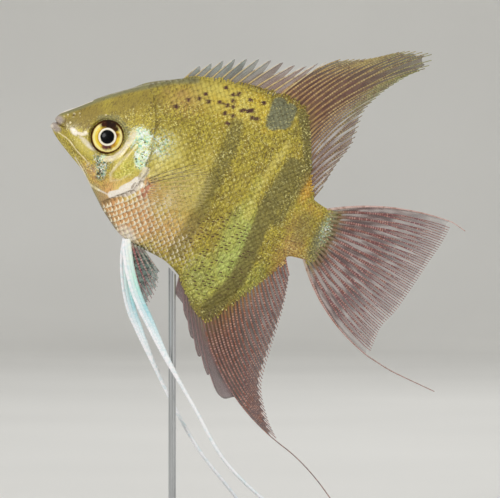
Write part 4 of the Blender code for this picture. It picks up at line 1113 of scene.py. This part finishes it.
fins = {
    "dorsal_spines": {
        "node": "dorsal_fin_spiny", "slot": "dorsal_spines",
        "root": edgeLine(body["back"], 30.0, 57.6, -0.9),
        "tips": [(33.0, 31.9), (42.1, 38.1), (52.8, 42.3), (61.1, 44.0), (67.6, 48.7)],
        "bow": [(0, 0.03), (1, 0.03)], "side": wave(0.2, 1.5),
        "rays": 12, "radius": (0.38, 0.12), "rodEnd": 0.95, "edge": lambda between, t: leaf(between),
        "rayLook": {"rays": [(0.0, "c0a458"), (0.5, "d0bc8c"), (1.0, "f0e8d8")], "mottle": "9c8460"},
        "membraneLook": {"membrane": [(0.0, "a89048"), (0.14, "8c8050"), (0.35, "687464"), (0.7, "5c8074"),
                                      (0.94, "8c9890")],
                         "rear": [(0.42, 0.0), (0.8, 0.85)], "rearTone": "8c6050",
                         "mottle": "7c6c5c", "streak": "443c38", "streakStrength": 0.55,
                         "gapStrength": 0.15, "slant": 0.4,
                         "solid": [(0.0, 0.95), (0.3, 0.75), (1.0, 0.6)]},
    },
    "dorsal_lobe": {
        "node": "dorsal_fin_soft", "slot": "dorsal_fin",
        "root": edgeLine(body["back"], 57.6, 79.6, -0.9),
        "tips": [(70.6, 50.2), (78.0, 53.6), (89.1, 60.8), (94.6, 62.2), (95.4, 59.6), (90.9, 53.9),
                 (85.2, 45.1), (83.0, 38.5), (83.6, 29.9), (81.6, 21.0), (80.6, 14.0)],
        "bow": [(0, 0.12), (0.55, 0.12), (1, 0)], "side": wave(0.6, 1.2, 0.6),
        "rays": 25, "forks": [0.5], "spread": 0.25, "radius": (0.36, 0.16), "beads": 0.8,
        "edge": scallop(0.96, 0.03),
        "rayLook": {"rays": [(0.0, "b89c54"), (0.15, "a07c50"), (0.45, "9c8054"), (0.75, "949058"),
                             (1.0, "848c54")],
                    "front": [(0.0, 0.6), (0.3, 0.2), (0.4, 0.0)], "frontTone": "c09860",
                    "rear": [(0.5, 0.0), (0.78, 0.75)], "rearTone": "64463a",
                    "mottle": "6c4838", "bead": "e4d09c", "beadStrength": 0.5},
        "membraneLook": {"membrane": [(0.0, "94803c"), (0.12, "7c5444"), (0.45, "744c40"), (0.75, "6c6444"),
                                      (1.0, "747c50")],
                         "rear": [(0.5, 0.0), (0.85, 0.6)], "rearTone": "84483c",
                         "mottle": "846848", "streak": "4c2c28", "streakStrength": 0.75, "gapStrength": 0.2,
                         "slant": 1.2, "rows": 3.4, "rowTone": "5c3428", "rowStrength": 0.3,
                         "solid": [(0.0, 0.98), (0.5, 0.8), (0.85, 0.6), (1.0, 0.45)], "windows": 0.85,
                         "least": 0.45, "windowsFrom": [(0.4, 0.1), (0.62, 1.0)]},
    },
    "anal_spines": {
        "node": "anal_fin_spiny", "slot": "anal_spines",
        "root": edgeLine(body["belly"], 51.8, 61.8, 0.9),
        "tips": [(53.0, -31.8), (56.6, -35.0), (63.0, -42.8), (71.0, -50.2), (78.2, -54.8), (81.0, -53.1)],
        "bow": [(0, -0.02), (0.5, -0.03), (0.85, -0.08), (1, -0.125)], "side": wave(0.2, 1.0),
        "rays": 7, "radius": (0.42, 0.14), "rodEnd": 0.95,
        "edge": lambda between, t: 1.0 - 0.45 * (1.0 - leaf(between)) * (1.0 - step(0.8, 0.9, t)),
        "rayLook": {"rays": [(0.0, "8c7c50"), (0.3, "78605c"), (1.0, "9c8484")], "mottle": "7c6060"},
        "membraneLook": {"membrane": [(0.0, "8c8048"), (0.25, "78644c"), (0.45, "6c5252"), (1.0, "745c60")],
                         "mottle": "846460", "streak": "44302f", "streakStrength": 0.7, "gapStrength": 0.2,
                         "slant": 0.3, "solid": [(0.0, 0.98), (0.5, 0.88), (1.0, 0.7)], "windows": 0.2},
    },
    "anal_lobe": {
        "node": "anal_fin_soft", "slot": "anal_fin",
        "root": edgeLine(body["belly"], 61.6, 79.0, 0.9),
        "tips": [(98.2, -60.4), (92.3, -54.9), (86.7, -46.0), (85.3, -36.0), (84.0, -24.0), (81.8, -14.0)],
        "bow": [(0, -0.2), (0.2, -0.17), (0.6, -0.1), (1, -0.03)], "side": wave(0.6, 1.1, 2.0),
        "rays": 25, "forks": [0.55], "spread": 0.25, "radius": (0.36, 0.16), "beads": 0.75,
        "trails": {0: [(103.6, -61.9), (111.4, -65.2), (122.0, -71.4)]},
        "edge": scallop(0.96, 0.03),
        "rayLook": {"rays": [(0.0, "a08e48"), (0.12, "98743c"), (0.3, "80503c"), (0.7, "744644"),
                             (1.0, "705858"), (1.05, "4c3c38")],
                    "front": [(0.0, 0.8), (0.3, 0.0)], "frontTone": "74585a", "mottle": "94502f",
                    "bead": "e8bcac", "beadStrength": 0.65},
        "membraneLook": {"membrane": [(0.0, "908240"), (0.14, "84683c"), (0.3, "6c4838"), (1.0, "584040")],
                         "mottle": "7c503c", "streak": "34201c", "streakStrength": 0.75,
                         "gapStrength": 0.45, "slant": 0.6,
                         "rows": 3.6, "rowTone": "8c5c38", "rowStrength": 0.1,
                         "solid": [(0.0, 0.98), (0.4, 0.85), (1.0, 0.6)],
                         "windowsFrom": [(0.2, 0.2), (0.6, 1.0)]},
    },
    "tail_fan": {
        "node": "caudal_fin", "slot": "caudal_fin",
        "root": [(83.4, 7.4), (84.4, 0.0), (83.4, -7.2)],
        "tips": [(119.6, 19.2), (119.4, 14.6), (117.9, 6.0), (116.2, -3.2), (114.6, -11.0), (112.3, -18.5),
                 (112.4, -26.7)],
        "bow": [(0, 0.14), (0.12, 0.1), (0.5, 0.01), (0.88, -0.09), (1, -0.17)],
        "side": lambda flat, t, v: -1.6 * v ** 2 + 0.5 * v ** 1.5 * np.sin(7.0 * t + 1.0),
        "rays": 17, "forks": [0.36, 0.64], "spread": 0.25, "radius": (0.5, 0.2), "beads": 0.7,
        "trails": {0: [(121.8, 18.8), (124.1, 18.3)], 16: [(121.1, -28.0), (134.3, -28.5)]},
        "edge": scallop(0.975, 0.01),
        "rayLook": {"rays": [(0.0, "9c9a70"), (0.12, "8c8460"), (0.22, "784c48"), (0.5, "74464a"),
                             (0.8, "785054"), (0.97, "845c60"), (1.0, "906c6c"), (1.05, "54403c")],
                    "front": [(0.0, 0.85), (0.05, 0.0), (0.94, 0.0), (1.0, 0.5)], "frontTone": "d8bcb4",
                    "mottle": "8c5840", "bead": "e4bcb0", "beadStrength": 0.65},
        "membraneLook": {"membrane": [(0.0, "9c9c74"), (0.12, "8c8460"), (0.24, "785048"), (0.6, "744c4c"),
                                      (1.0, "785c60")],
                         "mottle": "8c5c50", "streak": "44282e", "streakStrength": 0.8, "gapStrength": 0.3,
                         "solid": [(0.0, 0.98), (0.2, 0.95), (0.5, 0.8), (0.75, 0.42), (1.0, 0.15)],
                         "windows": 0.7, "least": 0.25},
    },
}


def makeFin(name, fin):
    fin = {**plainFin, **fin}
    rays = rodMesh(name + "_rays", forkedRays(fin), finShape["raySides"])
    bone = rayMaterial("jointed bone rays " + name, fin["rayLook"])
    finish(rays, name + "_rays", bone, fin["slot"], fin["node"])
    blade = membraneMesh(name + "_membrane", fin)
    skin = membraneMaterial("wet fin membrane " + name, fin["membraneLook"])
    made = finish(blade, name + "_membrane", skin, fin["slot"])
    solid = made.modifiers.new("two skins", "SOLIDIFY")
    solid.thickness = finShape["thickness"] * mm
    solid.offset = 0.0
    print(name, len(rays.polygons) + 2 * len(blade.polygons), "faces")


for name, fin in fins.items():
    makeFin(name, fin)

# The scales climb from the body on to the roots of the fins, smaller and sparser outwards.
finScales = {
    "row": 0.72,            # mm from row to row, out along the rays
    "across": 0.84,         # mm from scale to scale
    "length": 1.3,
    "width": 0.52,
    "off": 0.36,            # mm from the middle of the fin
    "root": 0.4,            # share of the length that lies ahead of its place
    "lift": 0.1,
    "rows": 9,
    "ragged": (0.75, 1.1),  # share of their reach at which rows end
    "shrink": 0.35,         # by this share at the end of their reach
    # how far they reach at the front, middle and rear of each fin, mm
    "reach": {"dorsal_spines": [1.6, 2.0, 2.8], "dorsal_lobe": [3.2, 2.4, 1.8], "tail_fan": [3.2, 4.6, 3.2],
              "anal_spines": [2.0, 3.2, 5.0], "anal_lobe": [4.6, 3.0, 2.2]},
    "seed": 9,
}


def makeFinScales(side, sign):
    rng = np.random.default_rng(finScales["seed"])
    a, b, c = scaleShape()[0].T
    scalesOn, stations, rounds = [], [], []
    for name, reach in finScales["reach"].items():
        fin = fins[name]
        line = alongLine(fin["root"], np.linspace(0.0, 1.0, 40))
        base = np.linalg.norm(np.diff(line, axis=0), axis=1).sum()
        across = finScales["across"] / base
        for row in range(finScales["rows"]):
            out = 0.5 + row * finScales["row"]
            t = np.arange(0.25 + 0.5 * (row % 2), base / finScales["across"], 1.0) * across
            t = np.clip(t + rng.normal(0.0, 0.1 / base, len(t)), 0.0, 1.0)
            far = np.interp(t, [0.0, 0.5, 1.0], reach)
            kept = out < far * rng.uniform(*finScales["ragged"], len(t))
            t, far = t[kept], far[kept]
            if not len(t):
                continue
            root = alongLine(fin["root"], t)
            v = out / np.linalg.norm(alongLine(fin["tips"], t) - root, axis=1)
            centre = onFin(fin, t, v)
            ahead = unit(onFin(fin, t, v + 0.02) - centre)
            beside = np.stack([-ahead[:, 2], np.zeros(len(t)), ahead[:, 0]], 1)
            small = 1.0 - finScales["shrink"] * out / far
            x = (a - finScales["root"]) * finScales["length"] * small[:, None]
            y = b * finScales["width"] * small[:, None]
            z = finScales["off"] + a * finScales["lift"] * small[:, None] + c
            points = centre[:, None] + x[..., None] * ahead[:, None] + y[..., None] * beside[:, None]
            points[..., 1] += sign * z
            scalesOn.append(points)
            way = 1.0 if name.startswith("dorsal") else -1.0
            edge = np.interp(root[:, 0], surface.s, surface.above if way > 0.0 else surface.below)
            stations.append(np.clip(root[:, 0], 0.0, 90.0) + (out if name == "tail_fan" else 0.0))
            rounds.append(root[:, 1] if name == "tail_fan" else way * (edge + out))
    return joinScales("fin_scales_" + side, np.concatenate(scalesOn), np.concatenate(stations),
                      np.concatenate(rounds), rng)


for side, sign in sides:
    made = makeFinScales(side, sign)
    print("fin scales", side, len(made.data.polygons), "faces")

# Pectoral fins: clear paddles with thin dark upper rays.
pectoral = {
    "root": [(32.6, -4.6), (33.6, -7.2), (35.4, -9.6)],
    "tips": [(44.8, 5.5), (48.9, 4.0), (51.2, 0.2), (50.8, -4.4), (46.6, -8.8)],
    "bow": [(0, 0.05), (1, -0.05)],
    "splay": 17.0, "base": 6.7, "off": 8.2, "cup": 0.9,
    "rays": 11, "forks": [0.5], "spread": 0.24, "radius": (0.16, 0.07),
    "edge": scallop(0.98, 0.02),
    "rayLook": {"rays": [(0.0, "d4a860"), (1.0, "ccb870")], "front": [(0.0, 1.0), (0.22, 0.9), (0.3, 0.0)],
                "frontTone": "4c3c24", "mottle": "dccc8c"},
    "membraneLook": {"membrane": [(0.0, "f0d098"), (1.0, "f0e8b0")], "mottle": "e8d898",
                     "streak": "a08c50", "streakStrength": 0.3,
                     "solid": [(0.0, 0.3), (0.2, 0.05), (1.0, 0.03)], "windowsFrom": nowhere},
}

# Pelvic fins: the first rays are broad, white to turquoise, and run together into one long thread.
pelvic = {
    "root": [(33.6, -22.9), (36.2, -23.5), (38.8, -23.6)],
    "tips": {"left": [(46.8, -40.4), (47.6, -33.2), (46.4, -28.0)],
             "right": [(43.4, -42.1), (44.6, -34.0), (45.0, -28.4)]},
    "thread": {"left": [(47.8, -41.2), (58.4, -50.4), (72.1, -60.8), (85.1, -70.7), (95.1, -75.2),
                        (104.5, -78.0), (112.5, -79.6)],
               "right": [(44.0, -42.8), (51.0, -49.6), (64.3, -61.6), (77.9, -72.0), (91.3, -79.4),
                         (98.5, -83.6)]},
    "bow": [(0, -0.11), (1, 0)],
    "rays": 6, "forks": [0.55], "spread": 0.24, "radius": (0.44, 0.14), "beads": 0.8,
    "edge": scallop(0.97, 0.05),
    "threadsApart": 3.25,   # mm further from the middle at the tip than at the root
    "strands": [(0.95, 0.56), (0.05, 0.6), (-0.85, 0.54)],    # offset from the thread's line, radius
    "strandEnd": 0.38,      # radius at the tip
    "strandSides": 10,
    "strandBeads": 1.1,     # mm from joint to joint
    "rayLook": {"rays": [(0.0, "c8c8a8"), (0.12, "945450"), (0.6, "7c4850"), (1.0, "8c7070")],
                "front": [(0.0, 0.9), (0.12, 0.0), (0.5, 0.0), (0.7, 0.7)], "frontTone": "94ac9c",
                "mottle": "6c4048", "bead": "ecc4b8", "beadStrength": 0.55},
    "membraneLook": {"membrane": [(0.0, "a4b49c"), (0.25, "54685c"), (1.0, "64807c")], "mottle": "40544c",
                     "streak": "243430", "streakStrength": 0.7, "gapStrength": 0.35, "slant": 0.3,
                     "rows": 2.2, "rowTone": "a8c0b4", "rowStrength": 0.35,
                     "solid": [(0.0, 0.9), (0.5, 0.65), (1.0, 0.4)], "streaked": False, "least": 0.0},
    "threadLook": {"rays": [(0.0, "fcfcf4"), (0.05, "e4f4e4"), (0.13, "bcecdc"), (0.22, "a8dce4"),
                            (0.3, "dcf0f4"), (0.4, "fcfcfc"), (1.0, "f4f8fc")],
                   "front": [(0.4, 0.0), (0.6, 0.9)], "frontTone": "fcf8fc", "mottle": "d4e8ec",
                   "bead": "ffffff", "beadStrength": 0.3},
}


def makePectoral(side, sign):
    def stand(flat, t, v):
        behind = flat[..., 0] - pectoral["root"][0][0]
        away = pectoral["off"] + behind * math.tan(math.radians(pectoral["splay"]))
        away = away + pectoral["cup"] * np.sin(math.pi * v)
        return sign * (pectoral["base"] + (away - pectoral["base"]) * step(-0.05, 0.35, v))
    fin = dict(pectoral, node="pectoral_fin_" + side, slot="pectoral_fin", side=stand)
    makeFin("pectoral_" + side, fin)


def makePelvic(side, sign):
    def stand(flat, t, v):
        return sign * (1.35 + 0.12 * np.maximum(-24.0 - flat[..., 1], 0.0))
    fin = dict(pelvic, node="pelvic_fin_" + side, slot="pelvic_fin", side=stand, tips=pelvic["tips"][side])
    makeFin("pelvic_" + side, fin)
    start = onFin(fin, np.zeros(30), np.linspace(0.0, 1.0, 30))
    share = np.linspace(0.0, 1.0, 80)
    flat = alongLine(pelvic["thread"][side], share)
    out = start[-1, 1] + sign * pelvic["threadsApart"] * share
    line = np.vstack([start[:-1], np.stack([flat[:, 0], out, flat[:, 1]], 1)])
    run = runLength(line)
    share = run / run[-1]
    way = np.gradient(line, axis=0)
    across = unit(np.stack([-way[:, 2], np.zeros(len(line)), way[:, 0]], 1))
    rods = []
    for n, (offset, thick) in enumerate(pelvic["strands"]):
        apart = offset * (1.04 - step(0.2, 0.5, share)) * step(-0.12, 0.06, share)
        radii = pelvic["strandEnd"] + (thick - pelvic["strandEnd"]) * (1.0 - share) ** 0.8
        strand = line + across * apart[:, None]
        rods.append(rod(strand, radii, pelvic["strandBeads"], out=share, across=n / 2.0))
    mesh = rodMesh("pelvic_thread_" + side, rods, pelvic["strandSides"])
    look = rayMaterial("jointed bone thread " + side, pelvic["threadLook"])
    finish(mesh, "pelvic_thread_" + side, look, "pelvic_filament", "pelvic_filament_" + side)


for side, sign in sides:
    makePectoral(side, sign)
    makePelvic(side, sign)
print("paired fins made")

# The stand keeps its own shapes. The rod is drawn stainless steel, with fine lines along it; the
# base is powder-coated steel, black and faintly pebbled.
standLook = {
    "rod": ("a8aaac", "d4d6d8"),
    "lines": 3.0,           # per mm across the rod
    "base": ("1c1d1f", "2a2b2e"),
    "pebble": 2.5,          # bumps per mm
}


def rodMaterial():
    made, tree, shader = newMaterial("drawn stainless steel", Metallic=1.0, Roughness=0.28)
    place = addNode(tree, "TexCoord", out="Object")
    scale = standLook["lines"] / mm
    drawn = addNode(tree, "Mapping", {"Vector": place, "Scale": (scale, scale, 12.0)})
    lines = addNode(tree, "TexNoise", {"Vector": drawn, "Scale": 1.0, "Detail": 2.0})
    low, high = standLook["rod"]
    base = addNode(tree, "ValToRGB", {"Fac": lines}, stops=[(0.35, low), (0.65, high)])
    rough = addNode(tree, "ValToRGB", {"Fac": lines}, stops=[(0.3, 0.2), (0.7, 0.42)])
    return link(made, shader, Base_Color=base, Roughness=rough)


def baseMaterial():
    made, tree, shader = newMaterial("black powder coat", Roughness=0.5, IOR=1.5)
    place = addNode(tree, "TexCoord", out="Object")
    pebble = addNode(tree, "TexNoise", {"Vector": place, "Scale": standLook["pebble"] / mm, "Detail": 1.0})
    low, high = standLook["base"]
    base = addNode(tree, "ValToRGB", {"Fac": pebble}, stops=[(0.35, low), (0.65, high)])
    bump = addNode(tree, "Bump", {"Strength": 0.4, "Distance": 0.05 * mm, "Height": pebble})
    return link(made, shader, Base_Color=base, Normal=bump)


for node, made in (("stand_rod", rodMaterial()), ("stand_base", baseMaterial())):
    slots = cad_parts[node].data.materials
    for n in range(len(slots)):
        slots[n] = made
print("stand finished")

stage = {
    "floor": ("e6e5e1", "eeede9"),
    "flatRadius": 1.9,      # metres
    "coveRadius": 0.5,
    "wallTop": 1.6,
    "middle": (58.15, 91.2),   # of the view: mm behind the snout, mm above the floor
    "viewWidth": 146.85,    # mm across the view at the fish
    "distance": 0.9,
    "sky": 0.62,
    # lamp, place and width in metres, watts
    "lamps": [("key", (-0.75, -1.0, 0.6), 0.4, 6.5), ("fill", (0.9, -0.7, 0.5), 0.7, 2.0),
              ("back", (0.3, 0.9, 0.9), 0.6, 2.0)],
    "lampsAim": (0.0, 0.0, 0.09),
}


def makeStage():
    # a round floor that curves up into a wall, open at the top
    bm = bmesh.new()
    flat, cove = stage["flatRadius"], stage["coveRadius"]
    line = [bm.verts.new((0.0, 0.0, 0.0)), bm.verts.new((flat, 0.0, 0.0))]
    for k in range(1, 9):
        a = math.pi / 2.0 * k / 8.0
        line.append(bm.verts.new((flat + cove * math.sin(a), 0.0, cove * (1.0 - math.cos(a)))))
    line.append(bm.verts.new((flat + cove, 0.0, stage["wallTop"])))
    edges = [bm.edges.new(pair) for pair in zip(line, line[1:])]
    bmesh.ops.spin(bm, geom=line + edges, cent=(0, 0, 0), axis=(0, 0, 1), angle=2.0 * math.pi,
                   steps=64, use_merge=True)
    bmesh.ops.remove_doubles(bm, verts=bm.verts, dist=1e-5)
    bmesh.ops.recalc_face_normals(bm, faces=bm.faces)
    mesh = toMesh(bm, "studio_floor")
    paper, tree, shader = newMaterial("matt studio paper", Roughness=0.9)
    place = addNode(tree, "TexCoord", out="Object")
    mottle = addNode(tree, "TexNoise", {"Vector": place, "Scale": 3.0})
    low, high = stage["floor"]
    mottle = addNode(tree, "ValToRGB", {"Fac": mottle}, stops=[(0.3, low), (0.7, high)])
    link(paper, shader, Base_Color=mottle)
    mesh.materials.append(paper)
    mesh.shade_smooth()
    addObject("studio_floor", mesh)


def makeLight(name, place, size, power):
    data = bpy.data.lights.new(name, "AREA")
    data.shape = "DISK"
    data.size = size
    data.energy = power
    lamp = addObject(name, data)
    lamp.location = place
    aim = Vector(stage["lampsAim"]) - Vector(place)
    lamp.rotation_euler = aim.to_track_quat("-Z", "Y").to_euler()


def makeCamera():
    data = bpy.data.cameras.new("view")
    data.lens = data.sensor_width * stage["distance"] / (stage["viewWidth"] * mm)
    camera = addObject("view", data)
    snout = toWorld @ Vector((0.0, 0.0, 0.0))
    camera.location = (snout.x + stage["middle"][0] * mm, -stage["distance"], stage["middle"][1] * mm)
    camera.rotation_euler = (math.pi / 2.0, 0.0, 0.0)
    bpy.context.scene.camera = camera


makeStage()
for lamp in stage["lamps"]:
    makeLight(*lamp)
makeCamera()
world = bpy.data.worlds.new("studio")
bpy.context.scene.world = world
world.use_nodes = True
world.node_tree.nodes["Background"].inputs["Color"].default_value = (1.0, 1.0, 1.0, 1.0)
world.node_tree.nodes["Background"].inputs["Strength"].default_value = stage["sky"]
bpy.context.scene.view_settings.view_transform = "Standard"
print("stage set")
